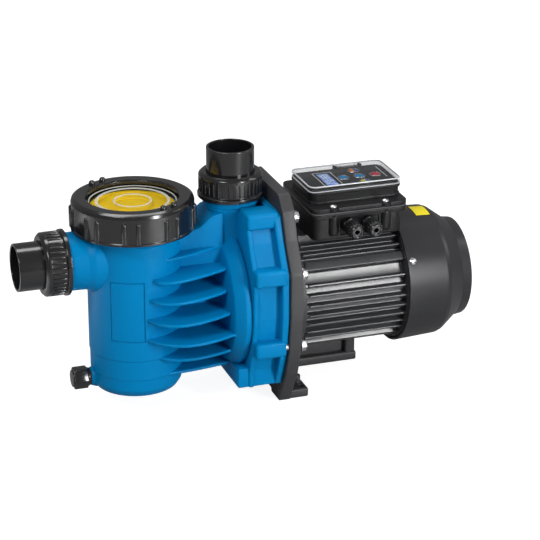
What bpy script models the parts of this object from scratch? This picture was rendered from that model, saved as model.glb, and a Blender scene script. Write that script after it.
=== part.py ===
"""Self-priming pool pump: strainer pot, volute, bracket, finned motor and controller.

Frame: origin on the ground under the shaft, at the middle of the bracket plate's thickness.
+X runs along the shaft towards the motor, +Z is up, and the near side of the pump is -Y.
Every number below is in millimetres; the helpers turn them into metres.
"""

import math

import bmesh
import bpy

MM = 0.001
GAP = 0.3

# Driving places
SHAFT_Z = 109.0
POT_X = -148.5
SUCTION_Z = 167.0
DISCHARGE_X = -43.0
SUCTION_FACE_X = -221.0
DISCHARGE_FACE_Z = 220.0

# Strainer pot, lid and basket
POT_R = 49.0
POT_WALL = 4.0
WELL_BOTTOM = 31.0
POT_BOTTOM = 22.0
POT_TOP = 217.0
POT_LEDGE = 212.0
COLLAR_R = 57.0
COLLAR_BORE = 49.0
RING_R = 65.0
RING_BOTTOM = 198.0
RING_TOP = 231.6
WINDOW_R = 47.5
LID_R = 57.5
LID_LOW = 219.5
LID_HIGH = 226.6
BASKET_R = 41.5
BASKET_WALL = 1.8
BASKET_BOTTOM = 30.0
BASKET_TOP = 221.0

# Unions, measured from the casing's face outwards
UNION_LENGTH = 53.0
NUT_LENGTH = 27.0
NUT_FLANGE_R = 34.6
NUT_R = 33.2
SPIGOT_R = 28.0
SPIGOT_LENGTH = 17.0
TUBE_R = 25.0
TUBE_BORE = 22.4
CASING_BORE = 20.0

# Volute and bracket plate
VOLUTE_R = 76.0
VOLUTE_FRONT = -60.0
CAVITY_R = 65.0
CAVITY_FRONT = -52.0
PLATE_HALF = 6.5
WEB_COUNT = 7
WEB_TOP = 173.0
WEB_PITCH = 21.3
WEB_THICK = 3.2
BOLT_PLACES = ((52.0, 207.0), (80.0, 154.0), (78.0, 74.0))
BOLT_R = 4.0
PLATE_EDGE = ((46, 231), (60, 217), (71, 188), (89, 157), (89, 107), (84, 71), (73, 39), (50, 0))
FLANGE_EDGE = ((43, 214), (57, 212), (67, 187), (85, 156), (85, 107), (80, 72), (68, 42), (60, 25))
PANEL_EDGE = ((40, 208), (50, 205), (59, 184), (76, 153), (76, 107), (71, 73), (60, 44), (60, 25))
BRIDGE_EDGE = ((-112, 150), (-60, 150), (-60, 208), (-69, 207), (-82, 196.5), (-112, 189))
FOOT_INNER = 25.0
FOOT_OUTER = 50.0
NEAR_FOOT_END = 27.0
FAR_FOOT_END = 110.0
FOOT_HIGH = 10.0

# Motor
MOTOR_FRONT = 19.5
MOTOR_BACK = 131.6
FIN_R = 65.5
FIN_ROOT_R = 58.0
MOTOR_BORE = 52.0
FIN_ANGLES = tuple(range(-80, 81, 10))
BAR_ANGLES = (-55.0, 38.0)
SHAFT_R = 7.2
CORE_SHAFT_R = 9.0
BEARING_R = 17.5
FAN_COVER_R = 72.6
FAN_COVER_WALL = 2.5
SCREW_ANGLES = (150.0, 30.0, 270.0)
SCREW_X = 138.0

# Terminal box and controller
BOX_X = (30.0, 137.0)
BOX_Y = 50.0
BODY_X = (31.5, 131.0)
BODY_Y = 48.5
BOX_FLANGE_LOW = 198.2
BOX_BOTTOM = 175.2
BOX_TOP = 203.5
LID_PLATE_LOW = 205.1
LID_PLATE_HIGH = 210.0
HEAD_X = (35.0, 135.0)
HEAD_Y = 31.0
HEAD_TOP = 222.0
KEYPAD_LOW = 222.3
KEYPAD_HIGH = 224.2
COVER_HIGH = 228.8
HINGE_Y = 36.8
HINGE_Z = 222.4
BUTTON_R = 5.0
BUTTON_PITCH = 18.0
BUTTON_MIDDLE_X = 100.5
SCREW_PLACES = ((54.0, -46.0), (112.0, -46.0), (54.0, 46.0), (112.0, 46.0))
GLAND_PLACES = (71.0, 92.0)
GLAND_Z = 189.5

TURNS = {
    "+Z": (0.0, 0.0, 0.0),
    "+X": (0.0, math.pi / 2, 0.0),
    "-X": (0.0, -math.pi / 2, 0.0),
    "+Y": (-math.pi / 2, 0.0, 0.0),
    "-Y": (math.pi / 2, 0.0, 0.0),
}

# Colour, roughness and metallic value of each finish
FINISHES = {
    "blue_plastic": ((0.0, 0.24, 0.60), 0.32, 0.0),
    "black_gloss": ((0.012, 0.012, 0.014), 0.22, 0.0),
    "black_satin": ((0.03, 0.03, 0.033), 0.5, 0.0),
    "grey_plastic": ((0.05, 0.05, 0.055), 0.55, 0.0),
    "clear": ((0.85, 0.88, 0.88), 0.05, 0.0),
    "yellow_plastic": ((1.0, 0.62, 0.01), 0.4, 0.0),
    "rubber": ((0.02, 0.02, 0.02), 0.8, 0.0),
    "steel": ((0.7, 0.7, 0.72), 0.25, 1.0),
    "copper": ((0.7, 0.3, 0.15), 0.35, 1.0),
    "iron": ((0.35, 0.35, 0.37), 0.5, 1.0),
    "ceramic": ((0.8, 0.78, 0.72), 0.3, 0.0),
    "board": ((0.02, 0.25, 0.08), 0.5, 0.0),
    "glass": ((0.35, 0.5, 0.8), 0.08, 0.0),
    "button_blue": ((0.0, 0.25, 0.6), 0.35, 0.0),
    "button_orange": ((0.9, 0.3, 0.03), 0.35, 0.0),
    "button_red": ((0.6, 0.02, 0.05), 0.35, 0.0),
    "button_yellow": ((0.9, 0.8, 0.02), 0.35, 0.0),
}


# ---------------------------------------------------------------- scene helpers
def clear_scene():
    """Remove the objects that the file opened with."""
    for old in list(bpy.data.objects):
        bpy.data.objects.remove(old, do_unlink=True)


def new_collection(name):
    """Make a collection and link it to the scene."""
    made = bpy.data.collections.new(name)
    bpy.context.scene.collection.children.link(made)
    return made


def material(finish):
    """Return the finish's Principled material, made once."""
    if finish in bpy.data.materials:
        return bpy.data.materials[finish]
    colour, rough, metal = FINISHES[finish]
    made = bpy.data.materials.new(finish)
    made.use_nodes = True
    shader = made.node_tree.nodes["Principled BSDF"]
    shader.inputs["Base Color"].default_value = (*colour, 1.0)
    shader.inputs["Roughness"].default_value = rough
    shader.inputs["Metallic"].default_value = metal
    return made


def place(name, mesh, finish, at, axis):
    """Put a mesh in the pump's collection, or among the cutters when it has no finish."""
    made = bpy.data.objects.new(name, mesh)
    made.location = [value * MM for value in at]
    made.rotation_euler = TURNS[axis]
    if finish is None:
        bpy.data.collections["cutters"].objects.link(made)
        made.hide_render = True
        made.display_type = "WIRE"
    else:
        bpy.data.collections["pool_pump"].objects.link(made)
        mesh.materials.append(material(finish))
    return made


# ---------------------------------------------------------------- shapes
def box(name, finish, low, high, bevel=0.0):
    """Make a box between two corners, with rounded edges if a bevel is given."""
    body = bmesh.new()
    bmesh.ops.create_cube(body, size=1.0)
    size = [(b - a) * MM for a, b in zip(low, high)]
    for vert in body.verts:
        vert.co = [c * s for c, s in zip(vert.co, size)]
    mesh = bpy.data.meshes.new(name)
    body.to_mesh(mesh)
    body.free()
    made = place(name, mesh, finish, [(a + b) / 2 for a, b in zip(low, high)], "+Z")
    if bevel:
        rounding = made.modifiers.new("edges", "BEVEL")
        rounding.width = bevel * MM
        rounding.segments = 2
    return made


def drum(name, finish, radius, low, high, centre, axis="+Z", sides=24, end_radius=None):
    """Make a cylinder or cone from low to high along an axis through centre."""
    body = bmesh.new()
    bmesh.ops.create_cone(
        body,
        cap_ends=True,
        segments=sides,
        radius1=radius * MM,
        radius2=(radius if end_radius is None else end_radius) * MM,
        depth=(high - low) * MM,
    )
    bmesh.ops.translate(body, verts=body.verts, vec=(0.0, 0.0, (low + high) / 2 * MM))
    mesh = bpy.data.meshes.new(name)
    body.to_mesh(mesh)
    body.free()
    return place(name, mesh, finish, centre, axis)


def turned(name, finish, profile, centre, axis="+Z", sides=28, ring=True):
    """Turn a profile of (radius, height) about an axis; it runs down its outer side."""
    count = len(profile)
    points = [(r * MM, 0.0, h * MM) for r, h in profile]
    edges = [(i, i + 1) for i in range(count - 1)]
    if ring:
        edges.append((count - 1, 0))
    mesh = bpy.data.meshes.new(name)
    mesh.from_pydata(points, edges, [])
    made = place(name, mesh, finish, centre, axis)
    spin = made.modifiers.new("spin", "SCREW")
    spin.steps = sides
    spin.render_steps = sides
    spin.use_merge_vertices = True
    spin.merge_threshold = 0.00001
    spin.use_smooth_shade = False
    return made


def tube(name, finish, outer, inner, low, high, centre, axis="+Z", sides=28):
    """Make a plain ring from low to high."""
    profile = ((outer, high), (outer, low), (inner, low), (inner, high))
    return turned(name, finish, profile, centre, axis, sides)


def slab(name, finish, loops, low, high, plane="XY"):
    """Extrude a flat outline with holes; its plane is XY, YZ or XZ and it runs from low to high."""
    curve = bpy.data.curves.new(name, "CURVE")
    curve.dimensions = "2D"
    curve.fill_mode = "BOTH"
    curve.extrude = (high - low) / 2 * MM
    for loop in loops:
        spline = curve.splines.new("POLY")
        spline.points.add(len(loop) - 1)
        spline.use_cyclic_u = True
        for point, (a, b) in zip(spline.points, loop):
            flat = (-b, a) if plane == "YZ" else (a, b)
            point.co = (flat[0] * MM, flat[1] * MM, 0.0, 1.0)
    drawn = bpy.data.objects.new(name + "_outline", curve)
    bpy.context.scene.collection.objects.link(drawn)
    bpy.context.view_layer.update()
    depsgraph = bpy.context.evaluated_depsgraph_get()
    mesh = bpy.data.meshes.new_from_object(drawn.evaluated_get(depsgraph))
    bpy.data.objects.remove(drawn, do_unlink=True)
    bpy.data.curves.remove(curve)
    mesh.name = name
    mesh.materials.clear()
    body = bmesh.new()
    body.from_mesh(mesh)
    bmesh.ops.remove_doubles(body, verts=body.verts, dist=0.000001)
    bmesh.ops.recalc_face_normals(body, faces=body.faces)
    body.to_mesh(mesh)
    body.free()
    middle = (low + high) / 2
    at, axis = {
        "XY": ((0.0, 0.0, middle), "+Z"),
        "YZ": ((middle, 0.0, 0.0), "+X"),
        "XZ": ((0.0, middle, 0.0), "-Y"),
    }[plane]
    return place(name, mesh, finish, at, axis)


def combine(target, tools, operation, solver):
    """Add one Boolean modifier to the target for each tool."""
    for tool in tools:
        step = target.modifiers.new(tool.name, "BOOLEAN")
        step.operation = operation
        step.solver = solver
        step.object = tool
    return target


def join(target, *tools, solver="EXACT"):
    """Unite the tools with the target."""
    return combine(target, tools, "UNION", solver)


def cut(target, *tools, solver="EXACT"):
    """Cut the tools out of the target."""
    return combine(target, tools, "DIFFERENCE", solver)


# ---------------------------------------------------------------- outlines
def circle(radius, centre=(0.0, 0.0), sides=32):
    """Points of a circle, anticlockwise."""
    step = 2 * math.pi / sides
    return [
        (centre[0] + radius * math.cos(i * step), centre[1] + radius * math.sin(i * step))
        for i in range(sides)
    ]


def polar(radius, degrees, centre=(0.0, SHAFT_Z)):
    """A point at an angle from +Y about the shaft, as (y, z)."""
    angle = math.radians(degrees)
    return (centre[0] + radius * math.cos(angle), centre[1] + radius * math.sin(angle))


def rounded(x_range, y_half, radius, steps=3):
    """A rectangle with round corners, centred on Y = 0."""
    corners = (
        (x_range[1] - radius, y_half - radius, 0),
        (x_range[0] + radius, y_half - radius, 90),
        (x_range[0] + radius, radius - y_half, 180),
        (x_range[1] - radius, radius - y_half, 270),
    )
    points = []
    for x, y, start in corners:
        for i in range(steps + 1):
            angle = math.radians(start + 90 * i / steps)
            points.append((x + radius * math.cos(angle), y + radius * math.sin(angle)))
    return points


def mirrored(half):
    """Close an outline given from its top to its bottom by mirroring it across Y = 0."""
    return [(y, z) for y, z in half] + [(-y, z) for y, z in reversed(half)]


# ---------------------------------------------------------------- pump casing
def web_outline(level):
    """Outline of one horizontal web: from the pot, bowed outwards, to the volute's front."""
    spread = 1 - ((level - 111.0) / 68.0) ** 2
    start = (POT_X + 2 + 22 * (1 - spread), 44.0 + 4 * spread)
    end = (VOLUTE_FRONT + 4, max(18.0, math.sqrt(max(0.0, 64.0**2 - (level - 99.0) ** 2))))
    bow = 26.0 * spread
    steps = 6
    side = []
    for i in range(steps + 1):
        t = i / steps
        across = start[1] + (end[1] - start[1]) * t + 4 * bow * t * (1 - t)
        side.append((start[0] + (end[0] - start[0]) * t, across))
    return side + [(x, -y) for x, y in reversed(side)]


def make_casing():
    """Pot, suction neck, webs, volute, discharge neck and bolting flange, moulded in one."""
    pot = (POT_X, 0.0, 0.0)
    shaft = (0.0, 0.0, SHAFT_Z)
    suction = (POT_X, 0.0, SUCTION_Z)
    outlet = (DISCHARGE_X, 0.0, 0.0)
    casing = turned(
        "pump_casing",
        "blue_plastic",
        (
            (0, POT_TOP),
            (COLLAR_R, POT_TOP),
            (COLLAR_R, 199.5),
            (POT_R, 191.0),
            (POT_R, 42.0),
            (POT_R - 1.2, 31.0),
            (POT_R - 5.5, 24.5),
            (POT_R - 13.0, POT_BOTTOM),
            (0, POT_BOTTOM),
        ),
        pot,
        ring=False,
    )
    neck_reach = POT_X - SUCTION_FACE_X
    pieces = [
        drum("suction_neck", None, 32.0, 10, neck_reach, suction, "-X", 30, 30.0),
        drum("suction_spigot", None, SPIGOT_R, 20, neck_reach + SPIGOT_LENGTH, suction, "-X", 28),
        drum("drain_boss", None, 9.5, 20, 50.5, (POT_X, 0, 35.5), "-X", 16),
        drum("duct", None, 24.0, -125, -55, shaft, "+X", 20),
        turned(
            "volute",
            None,
            (
                (0, -12),
                (VOLUTE_R - 6, -12),
                (VOLUTE_R - 6, -42),
                (VOLUTE_R, -47),
                (VOLUTE_R, -54),
                (VOLUTE_R - 4, VOLUTE_FRONT + 1),
                (VOLUTE_R - 10, VOLUTE_FRONT),
                (30, VOLUTE_FRONT - 4),
                (0, VOLUTE_FRONT - 4),
            ),
            shaft,
            "+X",
            ring=False,
        ),
        slab("panel_body", None, [mirrored(PANEL_EDGE)], -41, -10, "YZ"),
        slab("flange", None, [mirrored(FLANGE_EDGE)], -14.5, -PLATE_HALF - GAP, "YZ"),
        box("base_block", None, (-55, -60, 25.2), (-16, 60, 47)),
        drum("discharge_neck", None, 27.5, 148, DISCHARGE_FACE_Z, outlet, "+Z", 28),
        drum("discharge_spigot", None, SPIGOT_R, 150, DISCHARGE_FACE_Z + SPIGOT_LENGTH, outlet, "+Z", 28),
        slab("bridge", None, [BRIDGE_EDGE], -11, 11, "XZ"),
        box("spine", None, (-112, -2.5, 44), (-60, 2.5, 176)),
    ]
    for i in range(WEB_COUNT):
        level = WEB_TOP - i * WEB_PITCH
        low, high = level - WEB_THICK / 2, level + WEB_THICK / 2
        pieces.append(slab(f"web_{i}", None, [web_outline(level)], low, high))
    for i, (y, z) in enumerate(BOLT_PLACES):
        for side in (-1, 1):
            low = (-42.5 + i * 0.4, min(side * (y - 22), side * (y + 6.5)), z - 8.5)
            high = (-9.5, max(side * (y - 22), side * (y + 6.5)), z + 8.5)
            pieces.append(box(f"pillar_{i}_{side}", None, low, high, 2.5))
    join(casing, *pieces, solver="MANIFOLD")
    holes = [
        drum("pot_floor", None, POT_R - 6.7, 27, WELL_BOTTOM + 0.2, pot, "+Z", 28, POT_R - POT_WALL),
        drum("pot_cavity", None, POT_R - POT_WALL, WELL_BOTTOM, POT_TOP + 5, pot, sides=28),
        drum("collar_cavity", None, COLLAR_BORE, POT_LEDGE, POT_TOP + 5, pot, sides=28),
        drum("suction_bore", None, CASING_BORE, 15, neck_reach + 30, suction, "-X", 24),
        drum("duct_bore", None, 17.5, -120, CAVITY_FRONT + 3, shaft, "+X", 20),
        drum("volute_cavity", None, CAVITY_R, CAVITY_FRONT, 0, shaft, "+X", 28),
        drum("seal_groove", None, CAVITY_R + 4, -9.6, 0, shaft, "+X", 28),
        drum("discharge_bore", None, CASING_BORE - 0.5, 130, DISCHARGE_FACE_Z + 30, outlet, "+Z", 24),
        drum("drain_bore", None, 6.0, 30, 60, (POT_X, 0, 35.5), "-X", 14),
    ]
    for i, (y, z) in enumerate(BOLT_PLACES):
        for side in (-1, 1):
            at = (0, side * y, z)
            holes.append(drum(f"bolt_hole_{i}_{side}", None, BOLT_R + 0.4, -32, 0, at, "+X", 12))
    cut(casing, *holes, solver="MANIFOLD")


def make_lid():
    """Screw ring with ribs and knobs, clear lid, its seal, and the strainer basket."""
    pot = (POT_X, 0.0, 0.0)
    ring = turned(
        "lid_ring",
        "black_gloss",
        (
            (WINDOW_R + 1.5, RING_TOP),
            (RING_R - 6, RING_TOP),
            (RING_R - 2.6, RING_TOP - 1.8),
            (RING_R - 1.4, RING_TOP - 5),
            (RING_R - 1.4, RING_BOTTOM),
            (COLLAR_R + 1.4, RING_BOTTOM),
            (COLLAR_R + 1.4, LID_HIGH + GAP),
            (WINDOW_R, LID_HIGH + GAP),
            (WINDOW_R, RING_TOP - 2),
        ),
        pot,
        sides=32,
    )
    ribs = []
    for pair in range(8):
        for offset in (-4.2, 4.2):
            angle = math.radians(22.5 + 45 * pair + offset)
            at = (POT_X + (RING_R - 2.6) * math.cos(angle), (RING_R - 2.6) * math.sin(angle), 0)
            ribs.append(drum(f"ring_rib_{len(ribs)}", None, 2.6, RING_BOTTOM + 2, RING_TOP - 9, at, sides=6))
    for side in (0, 180):
        for offset in (-5.5, 5.5):
            angle = math.radians(-60 + side + offset)
            at = (POT_X + 55 * math.cos(angle), 55 * math.sin(angle), 0)
            ribs.append(drum(f"ring_knob_{len(ribs)}", None, 2.7, RING_TOP - 2, RING_TOP + 2.5, at, sides=6))
    join(ring, *ribs)
    turned(
        "clear_lid",
        "clear",
        (
            (0, LID_HIGH - 1.0),
            (WINDOW_R - 1.5, LID_HIGH - 1.0),
            (WINDOW_R - 0.5, LID_HIGH),
            (LID_R, LID_HIGH),
            (LID_R, LID_LOW),
            (WINDOW_R + 1, LID_LOW),
            (WINDOW_R - 1, LID_HIGH - 4.3),
            (0, LID_HIGH - 4.3),
        ),
        pot,
        sides=28,
        ring=False,
    )
    tube("lid_seal", "rubber", 55.5, 50.5, POT_TOP + GAP, LID_LOW - GAP, pot)
    basket = turned(
        "strainer_basket",
        "yellow_plastic",
        (
            (0, BASKET_TOP),
            (44.5, BASKET_TOP),
            (45.0, POT_LEDGE + 3),
            (48.4, POT_LEDGE + 3),
            (48.4, POT_LEDGE + GAP),
            (BASKET_R + 0.5, POT_LEDGE + GAP),
            (BASKET_R, BASKET_BOTTOM),
            (0, BASKET_BOTTOM),
            (0, BASKET_BOTTOM + 2),
            (BASKET_R - BASKET_WALL, BASKET_BOTTOM + 2),
            (BASKET_R - BASKET_WALL, BASKET_TOP - 2),
            (0, BASKET_TOP - 2),
        ),
        pot,
        ring=False,
    )
    windows = [drum("basket_inlet", None, 22.0, 25, 60, (POT_X, 0, SUCTION_Z), "-X", 20)]
    for row, level in enumerate((56, 100)):
        for i in range(4):
            angle = math.radians(45 * i + 22.5)
            reach = 60.0
            corners = [(-reach, -4.0), (reach, -4.0), (reach, 4.0), (-reach, 4.0)]
            loop = [
                (
                    POT_X + x * math.cos(angle) - y * math.sin(angle),
                    x * math.sin(angle) + y * math.cos(angle),
                )
                for x, y in corners
            ]
            windows.append(slab(f"basket_slot_{row}_{i}", None, [loop], level - 16, level + 16))
    cut(basket, *windows)


def make_union(prefix, face, axis):
    """Ribbed union nut, plain tailpiece and flat seal; face is the casing's face on the axis."""
    tail_start = SPIGOT_LENGTH + 2.2
    nut_profile = (
        (31.0, NUT_LENGTH),
        (32.0, NUT_LENGTH - 1.5),
        (NUT_R, NUT_LENGTH - 4),
        (NUT_R, 4.6),
        (NUT_FLANGE_R, 4.4),
        (NUT_FLANGE_R, GAP),
        (SPIGOT_R + 0.9, GAP),
        (SPIGOT_R + 0.9, tail_start + 4.0),
        (TUBE_R + 0.4, tail_start + 4.0),
        (TUBE_R + 0.4, NUT_LENGTH),
    )
    turned(prefix + "_nut", "black_gloss", nut_profile, face, axis, 24)
    tail_profile = (
        (TUBE_R - 0.6, UNION_LENGTH),
        (TUBE_R, UNION_LENGTH - 0.6),
        (TUBE_R, tail_start + 3.6),
        (SPIGOT_R + 0.3, tail_start + 3.6),
        (SPIGOT_R + 0.3, tail_start),
        (TUBE_BORE - 1.4, tail_start),
        (TUBE_BORE - 1.4, tail_start + 6),
        (TUBE_BORE, tail_start + 6),
        (TUBE_BORE, UNION_LENGTH),
    )
    turned(prefix + "_tailpiece", "black_gloss", tail_profile, face, axis, 24)
    low, high = SPIGOT_LENGTH + GAP, tail_start - GAP
    tube(prefix + "_seal", "rubber", SPIGOT_R - 0.5, 22.0, low, high, face, axis, 20)


def make_drain():
    """Hexagonal drain plug in the pot's foot, with its seal."""
    centre = (POT_X, 0.0, 35.5)
    tube("drain_seal", "rubber", 9.2, 6.3, 50.5 + GAP, 52.3, centre, "-X", 16)
    plug = drum("drain_plug", "black_gloss", 10.0, 52.6, 56.0, centre, "-X", 20)
    join(
        plug,
        drum("plug_head", None, 12.6, 55, 74, centre, "-X", 6),
        drum("plug_shank", None, 5.6, 44, 60, centre, "-X", 14),
    )


# ---------------------------------------------------------------- wet end
def make_wet_end():
    """Diffuser, impeller, mechanical seal and the shaft that carries them."""
    shaft = (0.0, 0.0, SHAFT_Z)
    diffuser = tube("diffuser", "grey_plastic", 63.5, 21.0, -51.5, -48.5, shaft, "+X")
    vanes = []
    for i in range(6):
        y, z = polar(56.0, 60 * i + 15)
        low, high = (-49.5, y - 2.0, z - 5), (-26, y + 2.0, z + 5)
        vanes.append(box(f"diffuser_vane_{i}", None, low, high))
    join(diffuser, *vanes)
    impeller = turned(
        "impeller",
        "grey_plastic",
        (
            (12, -20.5),
            (12, -22.5),
            (46, -22.5),
            (46, -25.5),
            (13, -27),
            (9, -43),
            (6.3, -43),
            (6.3, -20.5),
        ),
        shaft,
        "+X",
        28,
    )
    shroud = tube("impeller_shroud", None, 46, 18, -39, -36.5, shaft, "+X")
    blades = []
    for i in range(6):
        inner, outer = 60 * i, 60 * i + 35
        loop = [polar(9.5, inner - 6), polar(45, outer), polar(45, outer + 4), polar(9.5, inner + 12)]
        blades.append(slab(f"blade_{i}", None, [loop], -37.5, -24.5, "YZ"))
    join(impeller, *blades, shroud)
    tube("seal_rotating", "ceramic", 12.5, SHAFT_R + GAP, -20.2, -8.2, shaft, "+X", 24)
    tube("seal_stationary", "ceramic", 15.1, SHAFT_R + GAP, -7.9, 4.6, shaft, "+X", 24)
    turned(
        "shaft",
        "steel",
        (
            (0, 164),
            (SHAFT_R, 164),
            (SHAFT_R, 124.6),
            (CORE_SHAFT_R, 124.6),
            (CORE_SHAFT_R, 24.4),
            (SHAFT_R, 24.4),
            (SHAFT_R, -20.35),
            (6, -20.35),
            (6, -45),
            (0, -45),
        ),
        shaft,
        "+X",
        20,
        ring=False,
    )


# ---------------------------------------------------------------- bracket
def make_bracket():
    """Plate between pump and motor, with its feet, bearing seat and motor spigot."""
    shaft = (0.0, 0.0, SHAFT_Z)
    arch = ((FOOT_INNER, 0.0), (FOOT_INNER - 6, 15.0))
    outline = mirrored(PLATE_EDGE + arch)
    bracket = slab("bracket", "grey_plastic", [outline], -PLATE_HALF, PLATE_HALF, "YZ")
    rail_half = (FOOT_OUTER - FOOT_INNER) / 2
    rail_y = FOOT_INNER + rail_half
    pedestal = box("far_pedestal", None, (97, rail_y - 11, 4), (FAR_FOOT_END - 1, rail_y + 11, 75))
    cut(pedestal, drum("motor_clearance", None, FIN_R + 1.5, 50, 140, shaft, "+X", 40))
    pieces = [
        pedestal,
        box("near_foot", None, (-2, -FOOT_OUTER, 0), (NEAR_FOOT_END, -FOOT_INNER, FOOT_HIGH)),
        box("near_gusset", None, (-2, -FOOT_OUTER + 9, 4), (14, -FOOT_INNER - 2, 24)),
        drum("near_post", None, 3.6, 6, 19, (20, -32, 0), sides=12),
        box("rail_web", None, (4, rail_y - 4, 4), (104, rail_y + 4, 26)),
        box("far_rail", None, (-2, FOOT_INNER, 0), (FAR_FOOT_END, FOOT_OUTER, FOOT_HIGH)),
        tube("motor_collar", None, 66, 48, 3, MOTOR_FRONT - GAP, shaft, "+X"),
        tube("motor_spigot", None, MOTOR_BORE - GAP, 47, 3, 26, shaft, "+X"),
        tube("front_seat", None, 24, 15, 3, 23.5, shaft, "+X", 24),
        box("sill", None, (-4, -FOOT_INNER - 2, 0), (12, FOOT_INNER + 2, 16.5)),
    ]
    join(bracket, *pieces, solver="MANIFOLD")
    holes = [
        drum("seal_seat", None, 15.4, -12, 5, shaft, "+X", 24),
        drum("shaft_hole", None, 9.5, 0, 20, shaft, "+X", 16),
        drum("front_bearing_seat", None, BEARING_R + GAP, 11.7, 30, shaft, "+X", 24),
        drum("near_foot_slot", None, 3.2, -5, 15, (21, -42, 0), sides=12),
        drum("far_foot_slot", None, 3.2, -5, 15, (21, 42, 0), sides=12),
    ]
    for i, (y, z) in enumerate(BOLT_PLACES):
        for side in (-1, 1):
            at = (0, side * y, z)
            holes.append(drum(f"plate_hole_{i}_{side}", None, BOLT_R + 0.4, -20, 20, at, "+X", 12))
    cut(bracket, *holes, solver="MANIFOLD")
    tube("casing_seal", "rubber", CAVITY_R + 3.4, CAVITY_R + 0.6, -9.3, -7.1, shaft, "+X", 28)


def make_casing_bolts():
    """Hexagon-headed bolts that hold the casing to the bracket plate."""
    number = 0
    for y, z in BOLT_PLACES:
        for side in (-1, 1):
            number += 1
            at = (0.0, side * y, z)
            low = PLATE_HALF + GAP
            bolt = drum(f"casing_bolt_{number}", "steel", 8.2, low, low + 1.6, at, "+X", 16)
            join(
                bolt,
                drum(f"bolt_head_{number}", None, 7.2, low + 1, low + 6.4, at, "+X", 6),
                drum(f"bolt_shank_{number}", None, BOLT_R, -30, low + 1, at, "+X", 12),
            )


# ---------------------------------------------------------------- motor
def housing_outline():
    """Cross-section of the finned housing: side fins, four tie bars and a top pad."""
    half = 1.3
    points = []
    for degrees in FIN_ANGLES:
        bar = min(BAR_ANGLES, key=lambda angle: abs(angle - degrees))
        if abs(bar - degrees) < 9:
            continue
        points.append((degrees, half, FIN_R))
    for angle in BAR_ANGLES:
        points.append((angle, 4.6, FIN_R + 0.3))
    loop = []
    for degrees, width, reach in sorted(points):
        if degrees > 66:
            continue
        foot = math.degrees(width / FIN_ROOT_R)
        tip = math.degrees(width / reach)
        loop += [
            polar(FIN_ROOT_R, degrees - foot),
            polar(reach, degrees - tip),
            polar(reach, degrees + tip),
            polar(FIN_ROOT_R, degrees + foot),
        ]
    pad_top = BOX_BOTTOM - GAP
    loop += [(26.0, SHAFT_Z + 51.5), (26.0, pad_top)]
    return loop + [(-y, z) for y, z in reversed(loop)]


def make_motor():
    """Finned housing, stator, windings, rotor core, bearings and rear end shield."""
    shaft = (0.0, 0.0, SHAFT_Z)
    bore = circle(MOTOR_BORE, (0, SHAFT_Z), 32)
    slab("motor_housing", "black_satin", [housing_outline(), bore], MOTOR_FRONT, MOTOR_BACK, "YZ")
    slots = [circle(3.3, polar(39.0, 30 * i), 6) for i in range(12)]
    core_loops = [circle(MOTOR_BORE - GAP, (0, SHAFT_Z), 32), circle(29.0, (0, SHAFT_Z), 28)] + slots
    slab("stator_core", "iron", core_loops, 45, 105, "YZ")
    windings = tube("stator_windings", "copper", 48, 33, 31, 44.6, shaft, "+X", 24)
    strands = [tube("rear_end_turns", None, 48, 33, 105.4, 119, shaft, "+X", 24)]
    for i in range(12):
        y, z = polar(39.0, 30 * i)
        strands.append(drum(f"slot_strand_{i}", None, 2.5, 40, 110, (0, y, z), "+X", 5))
    join(windings, *strands, solver="MANIFOLD")
    tube("rotor_core", "iron", 28.3, CORE_SHAFT_R + GAP, 45, 105, shaft, "+X", 28)
    tube("front_bearing", "steel", BEARING_R, SHAFT_R + GAP, 12, 23, shaft, "+X", 24)
    tube("rear_bearing", "steel", BEARING_R, SHAFT_R + GAP, 126, 137, shaft, "+X", 24)
    shield_profile = (
        (69.0, 142),
        (69.0, MOTOR_BACK + GAP),
        (MOTOR_BORE - GAP, MOTOR_BACK + GAP),
        (MOTOR_BORE - GAP, 125.5),
        (47, 125.5),
        (47, 134),
        (24, 134),
        (24, 125.5),
        (BEARING_R + GAP, 125.5),
        (BEARING_R + GAP, 137.3),
        (10, 137.3),
        (10, 140),
        (62, 140),
        (64, 142),
    )
    shield = turned("rear_end_shield", "black_satin", shield_profile, shaft, "+X")
    pilots = []
    for i, degrees in enumerate(SCREW_ANGLES):
        pilots.append(radial_drum(f"pilot_{i}", None, 2.1, 64.5, 75, degrees, 10))
    cut(shield, *pilots)


def radial_drum(name, finish, radius, low, high, degrees, sides):
    """Make a cylinder that points out from the shaft at the fan cover's screws."""
    made = drum(name, finish, radius, low, high, (SCREW_X, 0, SHAFT_Z), "+Z", sides)
    made.rotation_euler = (math.radians(degrees - 90), 0.0, 0.0)
    return made


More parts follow.
